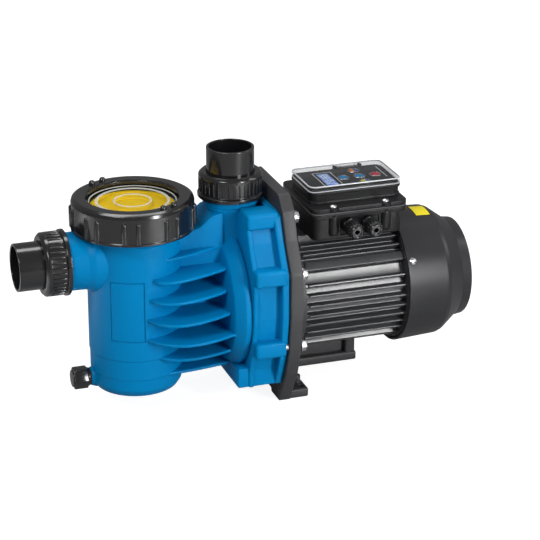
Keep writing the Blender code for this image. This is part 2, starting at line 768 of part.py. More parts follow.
def make_fan_end():
    """Cooling fan, its cover with a slotted rear grille, and the cover's screws."""
    shaft = (0.0, 0.0, SHAFT_Z)
    fan = turned(
        "fan",
        "black_satin",
        ((16, 163), (16, 149), (58, 149), (58, 146.5), (SHAFT_R + GAP, 146.5), (SHAFT_R + GAP, 163)),
        shaft,
        "+X",
        28,
    )
    blades = []
    for i in range(8):
        blade = box(f"fan_blade_{i}", None, (148, 14, SHAFT_Z - 1.2), (161, 56, SHAFT_Z + 1.2))
        turn = math.radians(45 * i)
        blade.location = (
            154.5 * MM,
            35 * math.cos(turn) * MM,
            (SHAFT_Z + 35 * math.sin(turn)) * MM,
        )
        blade.rotation_euler = (turn, 0.0, 0.0)
        blades.append(blade)
    join(fan, *blades)
    wall = FAN_COVER_WALL
    cover = turned(
        "fan_cover",
        "grey_plastic",
        (
            (0, 206),
            (50.4, 206),
            (50.6, 211.8),
            (53.1, 211.8),
            (55, 199.5),
            (70.2, 179),
            (FAN_COVER_R, MOTOR_BACK + 0.6),
            (FAN_COVER_R - wall, MOTOR_BACK + 0.6),
            (70.2 - wall, 178.5),
            (53, 197.5),
            (51, 203.2),
            (0, 203.2),
        ),
        shaft,
        "+X",
        28,
        ring=False,
    )
    slots = []
    for i in range(12):
        turn = math.radians(30 * i + 15)
        slot = box(f"grille_slot_{i}", None, (200, 12, SHAFT_Z - 2.2), (215, 47, SHAFT_Z + 2.2))
        slot.location = (
            206 * MM,
            30 * math.cos(turn) * MM,
            (SHAFT_Z + 30 * math.sin(turn)) * MM,
        )
        slot.rotation_euler = (turn, 0.0, 0.0)
        slots.append(slot)
    for i, degrees in enumerate(SCREW_ANGLES):
        slots.append(radial_drum(f"cover_hole_{i}", None, 2.1, 64.5, 80, degrees, 10))
        screw = radial_drum(f"fan_cover_screw_{i + 1}", "steel", 4.0, 72.8, 74.6, degrees, 14)
        join(screw, radial_drum(f"screw_shank_{i}", None, 1.8, 65.5, 73.5, degrees, 10))
    cut(cover, *slots)


# ---------------------------------------------------------------- terminal box and controller
def make_terminal_box():
    """Open box on the motor with screw columns, gasket, lid screws and cable glands."""
    flange = [rounded(BOX_X, BOX_Y, 9)]
    terminal_box = slab("terminal_box", "grey_plastic", flange, BOX_FLANGE_LOW, BOX_TOP)
    columns = [slab("box_body", None, [rounded(BODY_X, BODY_Y, 8)], BOX_BOTTOM, BOX_TOP - 2)]
    for i, (x, y) in enumerate(SCREW_PLACES):
        side = math.copysign(1.0, y)
        columns.append(drum(f"column_{i}", None, 6.0, 178, BOX_TOP - 1, (x, y + 0.5 * side, 0), sides=14))
    inner = (BODY_X[0] + 3.5, BODY_X[1] - 3.5)
    cavity = slab("box_cavity", None, [rounded(inner, BOX_Y - 13.5, 5)], BOX_BOTTOM + 3, BOX_TOP + 5)
    bay = slab("gland_bay", None, [rounded((62, 101), BODY_Y - 3.5, 3)], BOX_BOTTOM + 5, BOX_TOP - 4)
    join(terminal_box, *columns)
    cut(terminal_box, cavity, bay)
    for i, (x, y) in enumerate(SCREW_PLACES):
        cut(terminal_box, drum(f"column_hole_{i}", None, 2.3, 186, 215, (x, y, 0), sides=10))
    for i, x in enumerate(GLAND_PLACES):
        at = (x, 0.0, GLAND_Z)
        cut(terminal_box, drum(f"gland_hole_{i}", None, 6.4, 38, 60, at, "-Y", 16))
        make_gland(("left", "right")[i], at)
    gasket_loops = [rounded(BOX_X, BOX_Y, 9), rounded(inner, BOX_Y - 13.5, 5)]
    low, high = BOX_TOP + GAP, LID_PLATE_LOW - GAP
    gasket = slab("box_gasket", "rubber", gasket_loops, low, high)
    for i, (x, y) in enumerate(SCREW_PLACES):
        cut(gasket, drum(f"gasket_hole_{i}", None, 2.3, 190, 215, (x, y, 0), sides=10))
        head_low = LID_PLATE_HIGH + GAP
        screw = drum(f"box_screw_{i + 1}", "steel", 4.2, head_low, head_low + 2.6, (x, y, 0), sides=14)
        join(screw, drum(f"box_shank_{i}", None, 1.9, 187, head_low + 1, (x, y, 0), sides=10))


def make_gland(side, at):
    """Cable gland: hexagon body through the box wall and a domed clamping nut."""
    body = tube(f"gland_body_{side}", "black_gloss", 6.0, 3.4, 40, 62.0, at, "-Y", 12)
    join(body, tube(f"gland_hexagon_{side}", None, 9.2, 3.4, BODY_Y + GAP, 55.0, at, "-Y", 6))
    nut_profile = (
        (4.4, 74.5),
        (6.6, 73.5),
        (8.2, 70.5),
        (8.6, 55.4),
        (6.4, 55.4),
        (6.4, 62.4),
        (3.0, 64.0),
        (3.0, 74.5),
    )
    turned(f"gland_nut_{side}", "black_gloss", nut_profile, at, "-Y", 12)


def make_controller():
    """Controller housing, board, keypad with its buttons, window and hinged clear cover."""
    outline = [rounded(BOX_X, BOX_Y, 9)]
    lid_plate = slab("controller_housing", "grey_plastic", outline, LID_PLATE_LOW, LID_PLATE_HIGH)
    head = slab("head_body", None, [rounded(HEAD_X, HEAD_Y, 8)], LID_PLATE_LOW + 2, HEAD_TOP)
    lip_x = (HEAD_X[0] - 1.5, HEAD_X[1] + 1.5)
    lip = slab("head_lip", None, [rounded(lip_x, HEAD_Y + 1.5, 9)], 219, HEAD_TOP)
    pads = []
    for i, (x, y) in enumerate(SCREW_PLACES):
        pads.append(drum(f"screw_pad_{i}", None, 6.5, LID_PLATE_LOW + 1, LID_PLATE_HIGH, (x, y, 0), sides=14))
    ears = []
    for i, x in enumerate((84.4, 113.0)):
        ears.append(box(f"ear_foot_{i}", None, (x, 30, 218), (x + 3.6, HINGE_Y + 2.6, HEAD_TOP - 0.6)))
        ears.append(box(f"ear_{i}", None, (x, HINGE_Y - 2.6, 220), (x + 3.6, HINGE_Y + 2.6, HINGE_Z + 2.4)))
    join(lid_plate, head, lip, *pads, *ears)
    inside = (HEAD_X[0] + 3, HEAD_X[1] - 3)
    cavity = slab("head_cavity", None, [rounded(inside, HEAD_Y - 3, 6)], LID_PLATE_LOW - 3, HEAD_TOP + 5)
    cut(lid_plate, cavity)
    for i, (x, y) in enumerate(SCREW_PLACES):
        cut(lid_plate, drum(f"pad_hole_{i}", None, 2.3, 200, 215, (x, y, 0), sides=10))
    hinge = (0.0, HINGE_Y, HINGE_Z)
    cut(lid_plate, drum("ear_bore", None, 1.7, 80, 120, hinge, "+X", 16))
    drum("hinge_pin", "steel", 1.4, 84.6, 116.4, hinge, "+X", 16)
    box("circuit_board", "board", (42, -25, 212), (128, 25, 213.6))
    keypad_x = (HEAD_X[0] + 0.6, HEAD_X[1] - 0.6)
    window_x = (58.5, 71.5)
    window_loop = rounded(window_x, 19.0, 1.0, 1)
    loops = [rounded(keypad_x, HEAD_Y - 0.6, 8), window_loop]
    middle = BUTTON_MIDDLE_X
    pitch = BUTTON_PITCH
    buttons = {
        "button_left": ((middle - pitch, 0.0), "button_blue"),
        "button_top": ((middle, pitch), "button_orange"),
        "button_middle": ((middle, 0.0), "button_blue"),
        "button_right": ((middle + pitch, 0.0), "button_red"),
        "button_bottom": ((middle, -pitch), "button_yellow"),
    }
    for centre, _ in buttons.values():
        loops.append(circle(BUTTON_R + GAP, centre, 16))
    slab("keypad_panel", "black_satin", loops, KEYPAD_LOW, KEYPAD_HIGH)
    glass = (window_x[0] + GAP, window_x[1] - GAP)
    slab("display_window", "glass", [rounded(glass, 19.0 - GAP, 1.0, 1)], KEYPAD_LOW - 1, KEYPAD_HIGH - 0.2)
    for name, (centre, finish) in buttons.items():
        profile = (
            (0, KEYPAD_HIGH + 1.0),
            (BUTTON_R - 0.6, KEYPAD_HIGH + 1.0),
            (BUTTON_R, KEYPAD_HIGH + 0.5),
            (BUTTON_R, KEYPAD_LOW - 0.4),
            (BUTTON_R + 1.2, KEYPAD_LOW - 0.4),
            (BUTTON_R + 1.2, 219.4),
            (2.0, 219.4),
            (2.0, 215.0),
            (0, 215.0),
        )
        turned(name, finish, profile, (*centre, 0.0), "+Z", 12, ring=False)
    make_display_cover(hinge)


def make_display_cover(hinge):
    """Clear hinged cover over the keypad, open underneath."""
    outer = (HEAD_X[0] - 1.5, HEAD_X[1] + 1.5)
    inner = (outer[0] + 1.8, outer[1] - 1.8)
    cover = slab("display_cover", "clear", [rounded(outer, HEAD_Y + 1.5, 9)], HEAD_TOP + 0.4, COVER_HIGH)
    arms = []
    for i, x in enumerate((88.4, 108.4)):
        high = (x + 4.2, HINGE_Y + 1.0, HINGE_Z + 4.6)
        arms.append(box(f"arm_{i}", None, (x, HEAD_Y - 0.5, HINGE_Z + 0.6), high))
        arms.append(drum(f"knuckle_{i}", None, 2.7, x, x + 4.2, hinge, "+X", 16))
    join(cover, *arms)
    hollow = slab("cover_hollow", None, [rounded(inner, HEAD_Y - 0.3, 7.5)], HEAD_TOP - 3, COVER_HIGH - 1.4)
    cut(cover, hollow, drum("knuckle_bore", None, 1.7, 80, 120, hinge, "+X", 16))


def main():
    """Build the whole pump."""
    clear_scene()
    new_collection("pool_pump")
    new_collection("cutters")
    make_casing()
    make_lid()
    make_union("suction", (SUCTION_FACE_X, 0.0, SUCTION_Z), "-X")
    make_union("discharge", (DISCHARGE_X, 0.0, DISCHARGE_FACE_Z), "+Z")
    make_drain()
    make_wet_end()
    make_bracket()
    make_casing_bolts()
    make_motor()
    make_fan_end()
    make_terminal_box()
    make_controller()


main()
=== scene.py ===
"""Finished look of a self-priming pool pump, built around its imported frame.

Sizes are in millimetres in the pump's own frame: +X runs along the shaft towards the motor,
+Z is up and the near side is -Y. The workshop functions turn them into metres.
"""

from __future__ import annotations

import logging
import math
from dataclasses import dataclass
from enum import Enum
from typing import Iterable, Sequence

import bpy
from mathutils import Matrix, Vector

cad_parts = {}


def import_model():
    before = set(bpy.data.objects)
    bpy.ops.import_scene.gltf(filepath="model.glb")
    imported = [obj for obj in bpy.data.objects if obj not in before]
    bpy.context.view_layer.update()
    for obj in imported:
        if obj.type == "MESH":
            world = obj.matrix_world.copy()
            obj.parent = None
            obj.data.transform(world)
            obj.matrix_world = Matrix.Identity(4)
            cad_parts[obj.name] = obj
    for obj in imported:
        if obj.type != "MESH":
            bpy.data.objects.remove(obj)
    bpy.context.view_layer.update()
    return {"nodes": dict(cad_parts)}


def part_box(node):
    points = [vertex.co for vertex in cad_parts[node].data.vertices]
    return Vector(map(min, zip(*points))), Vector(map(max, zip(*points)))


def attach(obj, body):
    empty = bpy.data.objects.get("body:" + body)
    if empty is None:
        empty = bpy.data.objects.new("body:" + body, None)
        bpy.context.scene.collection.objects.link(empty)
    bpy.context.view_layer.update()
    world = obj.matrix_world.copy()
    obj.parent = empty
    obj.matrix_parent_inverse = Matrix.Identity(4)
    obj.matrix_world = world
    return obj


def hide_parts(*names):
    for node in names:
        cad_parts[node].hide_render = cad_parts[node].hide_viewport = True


LOG = logging.getLogger("pool_pump")
MM = 0.001

Point2 = tuple[float, float]
Point3 = tuple[float, float, float]

BOLTS: tuple[Point2, ...] = ((52.0, 207.0), (80.0, 154.0), (78.0, 74.0))
BOLT_HOLE_R = 4.4
BOX_SCREWS: tuple[Point2, ...] = ((54.0, -46.0), (112.0, -46.0), (54.0, 46.0), (112.0, 46.0))
BOX_HOLE_R = 2.3
DRAIN_Z = 35.5
BASE_Z = 25.2
LID_TOP = 225.4
LID_SEAT = 226.9


class Axis(Enum):
    """Direction that a turned or extruded piece runs along."""

    UP = "+Z"
    FORWARD = "+X"
    BACK = "-X"
    NEAR = "-Y"

    def turn(self) -> Matrix:
        """Return the rotation that takes local +Z to this direction."""
        turns = {
            Axis.UP: Matrix.Identity(4),
            Axis.FORWARD: Matrix.Rotation(math.pi / 2, 4, "Y"),
            Axis.BACK: Matrix.Rotation(-math.pi / 2, 4, "Y"),
            Axis.NEAR: Matrix.Rotation(math.pi / 2, 4, "X"),
        }
        return turns[self]


class Plane(Enum):
    """Plane that a flat outline is drawn in."""

    XY = "horizontal"
    YZ = "across the shaft"
    XZ = "upright, along the shaft"


# ------------------------------------------------------------------ workshop
def take(piece: bpy.types.Object) -> bpy.types.Object:
    """Make a piece the only selected and the active one.

    Args:
        piece: the object to work on.

    Returns:
        The same object.
    """
    bpy.ops.object.select_all(action="DESELECT")
    piece.select_set(True)
    bpy.context.view_layer.objects.active = piece
    return piece


def settle(piece: bpy.types.Object, turn: Matrix, at: Point3) -> bpy.types.Object:
    """Turn a piece, move it to its place and put both into its mesh.

    Args:
        piece: the object, modelled about the origin.
        turn: its rotation.
        at: its place, in millimetres.

    Returns:
        The same object, at the origin.
    """
    take(piece)
    piece.matrix_world = Matrix.Translation(Vector(at) * MM) @ turn
    bpy.ops.object.transform_apply(location=True, rotation=True, scale=True)
    return piece


def rounded_path(points: Sequence[Sequence[float]], steps: int = 5, closed: bool = False) -> list[Point2]:
    """Round the corners of a path.

    Args:
        points: (a, b) corners, or (a, b, radius) where the corner is rounded.
        steps: segments of each arc.
        closed: whether the path comes back to its start.

    Returns:
        The path's points with arcs for its rounded corners.
    """
    result: list[Point2] = []
    count = len(points)
    for i, corner in enumerate(points):
        here = Vector(corner[:2])
        inner = closed or 0 < i < count - 1
        if len(corner) < 3 or not inner:
            result.append((here.x, here.y))
            continue
        before = (Vector(points[i - 1][:2]) - here)
        after = (Vector(points[(i + 1) % count][:2]) - here)
        half = before.angle(after) / 2
        reach = min(corner[2] / math.tan(half), before.length * 0.49, after.length * 0.49)
        start, end = here + before.normalized() * reach, here + after.normalized() * reach
        for k in range(steps + 1):
            t = k / steps
            blend = (1 - t) ** 2, 2 * t * (1 - t), t * t
            spot = start * blend[0] + here * blend[1] + end * blend[2]
            result.append((spot.x, spot.y))
    return result


def draw_path(name: str, points: Sequence[Point3], closed: bool) -> bpy.types.Object:
    """Draw a wire by extruding one vertex from point to point, and stay in edit mode.

    Args:
        name: the object's name.
        points: the wire's points, in metres.
        closed: whether the last point joins the first.

    Returns:
        The object, in edit mode with everything selected.
    """
    bpy.ops.object.select_all(action="DESELECT")
    bpy.ops.mesh.primitive_plane_add(size=MM)
    piece = bpy.context.active_object
    piece.name = name
    piece.data.name = name
    bpy.ops.object.mode_set(mode="EDIT")
    bpy.ops.mesh.select_all(action="SELECT")
    bpy.ops.mesh.merge(type="CENTER")
    bpy.ops.transform.translate(value=points[0])
    stops = [*points, points[0]] if closed else points
    for before, after in zip(stops, stops[1:]):
        step = tuple(b - a for a, b in zip(before, after))
        bpy.ops.mesh.extrude_region_move(TRANSFORM_OT_translate={"value": step})
    bpy.ops.mesh.select_all(action="SELECT")
    if closed:
        bpy.ops.mesh.remove_doubles(threshold=0.000002)
    return piece


def lathe(
    name: str,
    profile: Sequence[Sequence[float]],
    at: Point3,
    axis: Axis = Axis.UP,
    sides: int = 96,
    ring: bool = False,
    arc: tuple[float, float] = (0.0, 360.0),
    steps: int = 5,
) -> bpy.types.Object:
    """Spin a profile about an axis.

    Args:
        name: the piece's name.
        profile: (radius, height) corners, with an optional rounding radius.
        at: the axis's origin.
        axis: the axis's direction.
        sides: segments of a full turn.
        ring: whether the profile closes on itself.
        arc: start and sweep in degrees; a part turn gets end faces.
        steps: segments of each rounded corner.

    Returns:
        The turned piece, with its place in its mesh.
    """
    path = rounded_path(profile, steps, closed=ring)
    start, sweep = math.radians(arc[0]), math.radians(arc[1])
    spots = [(r * MM * math.cos(start), r * MM * math.sin(start), h * MM) for r, h in path]
    piece = draw_path(name, spots, ring)
    full = arc[1] >= 360
    if not full:
        bpy.ops.mesh.edge_face_add()
    count = max(2, round(sides * arc[1] / 360))
    bpy.ops.mesh.spin(steps=count, angle=-sweep, center=(0, 0, 0), axis=(0, 0, 1))
    bpy.ops.mesh.select_all(action="SELECT")
    bpy.ops.mesh.remove_doubles(threshold=0.000002)
    bpy.ops.mesh.normals_make_consistent(inside=False)
    bpy.ops.object.mode_set(mode="OBJECT")
    return settle(piece, axis.turn(), at)


def prism(
    name: str,
    outline: Sequence[Sequence[float]],
    low: float,
    high: float,
    plane: Plane = Plane.XY,
    edge: float = 0.0,
    steps: int = 5,
) -> bpy.types.Object:
    """Fill an outline and extrude it.

    Args:
        name: the piece's name.
        outline: its corners, with optional rounding radii.
        low: where it starts along the plane's normal.
        high: where it ends.
        plane: the plane of the outline.
        edge: radius of the rounded rims.
        steps: segments of each rounded corner.

    Returns:
        The piece, with its place in its mesh.
    """
    path = rounded_path(outline, steps, closed=True)
    if plane is Plane.YZ:
        path = [(-b, a) for a, b in path]
    piece = draw_path(name, [(a * MM, b * MM, 0.0) for a, b in path], True)
    bpy.ops.mesh.edge_face_add()
    bpy.ops.mesh.extrude_region_move(TRANSFORM_OT_translate={"value": (0, 0, (high - low) * MM)})
    bpy.ops.mesh.select_all(action="SELECT")
    bpy.ops.mesh.normals_make_consistent(inside=False)
    bpy.ops.object.mode_set(mode="OBJECT")
    turn, at = {
        Plane.XY: (Matrix.Identity(4), (0.0, 0.0, low)),
        Plane.YZ: (Axis.FORWARD.turn(), (low, 0.0, 0.0)),
        Plane.XZ: (Axis.NEAR.turn(), (0.0, high, 0.0)),
    }[plane]
    settle(piece, turn, at)
    if edge:
        round_edges(piece, edge)
    return piece


def block(name: str, low: Point3, high: Point3, edge: float = 0.0, segments: int = 3) -> bpy.types.Object:
    """Make a box between two corners with rounded edges.

    Args:
        name: the piece's name.
        low: lowest corner.
        high: highest corner.
        edge: rounding radius.
        segments: segments of the rounding.

    Returns:
        The box.
    """
    bpy.ops.object.select_all(action="DESELECT")
    middle = [(a + b) / 2 * MM for a, b in zip(low, high)]
    bpy.ops.mesh.primitive_cube_add(size=1.0, location=middle)
    piece = bpy.context.active_object
    piece.name = name
    piece.data.name = name
    piece.scale = [(b - a) * MM for a, b in zip(low, high)]
    bpy.ops.object.transform_apply(location=True, rotation=True, scale=True)
    if edge:
        bpy.ops.object.mode_set(mode="EDIT")
        bpy.ops.mesh.select_all(action="SELECT")
        bpy.ops.mesh.bevel(offset=edge * MM, segments=segments, affect="EDGES")
        bpy.ops.object.mode_set(mode="OBJECT")
    return piece


def rod(
    name: str,
    radius: float,
    low: float,
    high: float,
    at: Point3,
    axis: Axis = Axis.UP,
    sides: int = 32,
    edge: float = 0.0,
) -> bpy.types.Object:
    """Make a cylinder from low to high along an axis, with rounded rims if asked.

    Args:
        name: the piece's name.
        radius: its radius.
        low: start along the axis.
        high: end along the axis.
        at: the axis's origin.
        axis: the axis's direction.
        sides: its number of sides.
        edge: rounding radius of its rims.

    Returns:
        The cylinder.
    """
    bpy.ops.object.select_all(action="DESELECT")
    bpy.ops.mesh.primitive_cylinder_add(vertices=sides, radius=radius * MM, depth=(high - low) * MM)
    piece = bpy.context.active_object
    piece.name = name
    piece.data.name = name
    piece.location.z = (low + high) / 2 * MM
    bpy.ops.object.transform_apply(location=True, rotation=True, scale=True)
    if edge:
        round_edges(piece, edge)
    return settle(piece, axis.turn(), at)


def round_edges(piece: bpy.types.Object, width: float, segments: int = 3, angle: float = 35.0) -> None:
    """Round a piece's sharp edges with an applied bevel.

    Args:
        piece: the piece.
        width: the rounding's width.
        segments: its segments.
        angle: edges sharper than this many degrees are rounded.
    """
    take(piece)
    bevel = piece.modifiers.new("round_edges", "BEVEL")
    bevel.width = width * MM
    bevel.segments = segments
    bevel.limit_method = "ANGLE"
    bevel.angle_limit = math.radians(angle)
    bpy.ops.object.modifier_apply(modifier=bevel.name)


def unite(target: bpy.types.Object, tools: Iterable[bpy.types.Object]) -> bpy.types.Object:
    """Fuse pieces into one.

    Args:
        target: the piece that is kept.
        tools: the pieces that are used up.

    Returns:
        The target.
    """
    return carve(target, tools, "UNION")


def carve(
    target: bpy.types.Object, tools: Iterable[bpy.types.Object], operation: str = "DIFFERENCE"
) -> bpy.types.Object:
    """Cut tools out of a piece, or unite them with it, and remove the tools.

    Args:
        target: the piece that is kept.
        tools: the pieces that are used up.
        operation: DIFFERENCE or UNION.

    Returns:
        The target.
    """
    for tool in tools:
        take(target)
        step = target.modifiers.new("joint", "BOOLEAN")
        step.operation = operation
        step.solver = "MANIFOLD"
        step.object = tool
        bpy.ops.object.modifier_apply(modifier=step.name)
        bpy.data.objects.remove(tool, do_unlink=True)
    return target


def copies(piece: bpy.types.Object, turns: Sequence[Matrix]) -> list[bpy.types.Object]:
    """Copy a piece once for each placement, each copy with its own mesh.

    Args:
        piece: the pattern, which is removed afterwards.
        turns: placements about the world's origin, in metres.

    Returns:
        The copies, with their places in their meshes.
    """
    made = []
    for number, turn in enumerate(turns):
        twin = piece.copy()
        twin.data = piece.data.copy()
        twin.name = f"{piece.name}_{number}"
        bpy.context.scene.collection.objects.link(twin)
        twin.data.transform(turn)
        made.append(twin)
    bpy.data.objects.remove(piece, do_unlink=True)
    return made


def around(count: int, at: Point3, axis: str, start: float = 0.0, sweep: float = 360.0) -> list[Matrix]:
    """Placements that turn a piece evenly about an axis through a point.

    Args:
        count: the number of placements.
        at: a point on the axis.
        axis: the axis's letter.
        start: angle of the first, in degrees.
        sweep: the angle that they share out.

    Returns:
        One matrix for each placement.
    """
    centre = Matrix.Translation(Vector(at) * MM)
    result = []
    for i in range(count):
        angle = math.radians(start + sweep * i / count)
        result.append(centre @ Matrix.Rotation(angle, 4, axis) @ centre.inverted())
    return result


def merge(name: str, pieces: Sequence[bpy.types.Object]) -> bpy.types.Object:
    """Join separate shells into one object.

    Args:
        name: the object's name.
        pieces: the shells, which don't touch each other.

    Returns:
        The object.
    """
    take(pieces[0])
    for piece in pieces[1:]:
        piece.select_set(True)
    bpy.ops.object.join()
    pieces[0].name = name
    pieces[0].data.name = name
    return pieces[0]


def polar(radius: float, degrees: float, centre: Point2 = (0.0, 0.0)) -> Point2:
    """Return the point at an angle and radius about a centre."""
    angle = math.radians(degrees)
    return centre[0] + radius * math.cos(angle), centre[1] + radius * math.sin(angle)


def mirrored(half: Sequence[Sequence[float]]) -> list[tuple[float, ...]]:
    """Close an outline, given from its top to its bottom, by mirroring it across Y = 0."""
    return [tuple(p) for p in half] + [(-p[0], *p[1:]) for p in reversed(half)]


def box_outline(x_range: Point2, y_half: float, radius: float) -> list[tuple[float, ...]]:
    """Return the corners of a rounded rectangle centred on Y = 0."""
    low, high = x_range
    return [(high, y_half, radius), (low, y_half, radius), (low, -y_half, radius), (high, -y_half, radius)]


# ------------------------------------------------------------------ finishes
def shared_group(
    name: str, sockets: Sequence[tuple[str, str, str, float]],
) -> tuple[bpy.types.NodeTree, bool]:
    """Return a shader node group, and whether it still has to be filled.

    Args:
        name: the group's name.
        sockets: (name, IN or OUT, socket type, default) of each socket.

    Returns:
        The group and True when it is new.
    """
    if name in bpy.data.node_groups:
        return bpy.data.node_groups[name], False
    tree = bpy.data.node_groups.new(name, "ShaderNodeTree")
    for label, way, kind, default in sockets:
        socket = tree.interface.new_socket(name=label, in_out=way + "PUT", socket_type="NodeSocket" + kind)
        if kind == "Float":
            socket.default_value = default
    return tree, True


def tint_group() -> bpy.types.NodeTree:
    """Group that varies a colour and a roughness slightly, as moulded or painted skins do.

    Returns:
        The node group.
    """
    tree, new = shared_group(
        "uneven_skin",
        (
            ("Color", "IN", "Color", 0.0),
            ("Scale", "IN", "Float", 12.0),
            ("Spread", "IN", "Float", 0.06),
            ("Roughness", "IN", "Float", 0.4),
            ("Roughness spread", "IN", "Float", 0.08),
            ("Color", "OUT", "Color", 0.0),
            ("Roughness", "OUT", "Float", 0.0),
        ),
    )
    if not new:
        return tree
    nodes, links = tree.nodes, tree.links
    source = nodes.new("NodeGroupInput")
    result = nodes.new("NodeGroupOutput")
    place = nodes.new("ShaderNodeTexCoord")
    clouds = nodes.new("ShaderNodeTexNoise")
    clouds.inputs["Detail"].default_value = 5.0
    links.new(place.outputs["Object"], clouds.inputs["Vector"])
    links.new(source.outputs["Scale"], clouds.inputs["Scale"])
    centred = nodes.new("ShaderNodeMath")
    centred.operation = "SUBTRACT"
    centred.inputs[1].default_value = 0.5
    links.new(clouds.outputs["Fac"], centred.inputs[0])
    swing = nodes.new("ShaderNodeMath")
    swing.operation = "MULTIPLY_ADD"
    swing.inputs[2].default_value = 1.0
    links.new(centred.outputs[0], swing.inputs[0])
    links.new(source.outputs["Spread"], swing.inputs[1])
    shade = nodes.new("ShaderNodeHueSaturation")
    links.new(source.outputs["Color"], shade.inputs["Color"])
    links.new(swing.outputs[0], shade.inputs["Value"])
    links.new(shade.outputs["Color"], result.inputs["Color"])
    sheen = nodes.new("ShaderNodeMath")
    sheen.operation = "MULTIPLY_ADD"
    links.new(centred.outputs[0], sheen.inputs[0])
    links.new(source.outputs["Roughness spread"], sheen.inputs[1])
    links.new(source.outputs["Roughness"], sheen.inputs[2])
    links.new(sheen.outputs[0], result.inputs["Roughness"])
    return tree


def grain_group() -> bpy.types.NodeTree:
    """Group that gives the height of a fine moulded or cast grain.

    Returns:
        The node group.
    """
    tree, new = shared_group(
        "fine_grain",
        (
            ("Scale", "IN", "Float", 900.0),
            ("Pits", "IN", "Float", 0.5),
            ("Height", "OUT", "Float", 0.0),
        ),
    )
    if not new:
        return tree
    nodes, links = tree.nodes, tree.links
    source = nodes.new("NodeGroupInput")
    result = nodes.new("NodeGroupOutput")
    place = nodes.new("ShaderNodeTexCoord")
    fine = nodes.new("ShaderNodeTexNoise")
    fine.inputs["Detail"].default_value = 3.0
    pits = nodes.new("ShaderNodeTexVoronoi")
    for texture in (fine, pits):
        links.new(place.outputs["Object"], texture.inputs["Vector"])
        links.new(source.outputs["Scale"], texture.inputs["Scale"])
    blend = nodes.new("ShaderNodeMix")
    blend.data_type = "FLOAT"
    links.new(source.outputs["Pits"], blend.inputs["Factor"])
    links.new(fine.outputs["Fac"], blend.inputs["A"])
    links.new(pits.outputs["Distance"], blend.inputs["B"])
    links.new(blend.outputs["Result"], result.inputs["Height"])
    return tree


def new_material(name: str) -> tuple[bpy.types.Material, bpy.types.ShaderNode]:
    """Make an empty Principled material.

    Args:
        name: the material's name.

    Returns:
        The material and its shader node.
    """
    made = bpy.data.materials.new(name)
    made.use_nodes = True
    return made, made.node_tree.nodes["Principled BSDF"]


@dataclass(frozen=True)
class Skin:
    """A moulded, painted or rubber skin with uneven colour, soft edges and a fine grain."""

    name: str
    colour: Point3
    roughness: float = 0.35
    spread: float = 0.10
    cloud_scale: float = 14.0
    roughness_spread: float = 0.10
    grain_scale: float = 700.0
    grain_depth: float = 0.02
    pits: float = 0.3
    coat: float = 0.0
    metallic: float = 0.0
    edge: float = 0.7
    specular: float = 0.5

    def material(self) -> bpy.types.Material:
        """Return the skin's material, made once."""
        if self.name in bpy.data.materials:
            return bpy.data.materials[self.name]
        made, shader = new_material(self.name)
        nodes, links = made.node_tree.nodes, made.node_tree.links
        tint = nodes.new("ShaderNodeGroup")
        tint.node_tree = tint_group()
        tint.inputs["Color"].default_value = (*self.colour, 1.0)
        tint.inputs["Scale"].default_value = self.cloud_scale
        tint.inputs["Spread"].default_value = self.spread
        tint.inputs["Roughness"].default_value = self.roughness
        tint.inputs["Roughness spread"].default_value = self.roughness_spread
        links.new(tint.outputs["Color"], shader.inputs["Base Color"])
        links.new(tint.outputs["Roughness"], shader.inputs["Roughness"])
        grain = nodes.new("ShaderNodeGroup")
        grain.node_tree = grain_group()
        grain.inputs["Scale"].default_value = self.grain_scale
        grain.inputs["Pits"].default_value = self.pits
        bump = nodes.new("ShaderNodeBump")
        bump.inputs["Strength"].default_value = 1.0
        bump.inputs["Distance"].default_value = self.grain_depth * MM
        links.new(grain.outputs["Height"], bump.inputs["Height"])
        if self.edge:
            soft = nodes.new("ShaderNodeBevel")
            soft.samples = 4
            soft.inputs["Radius"].default_value = self.edge * MM
            links.new(soft.outputs["Normal"], bump.inputs["Normal"])
        links.new(bump.outputs["Normal"], shader.inputs["Normal"])
        shader.inputs["Metallic"].default_value = self.metallic
        shader.inputs["Specular IOR Level"].default_value = self.specular
        shader.inputs["Coat Weight"].default_value = self.coat
        shader.inputs["Coat Roughness"].default_value = 0.08
        return made


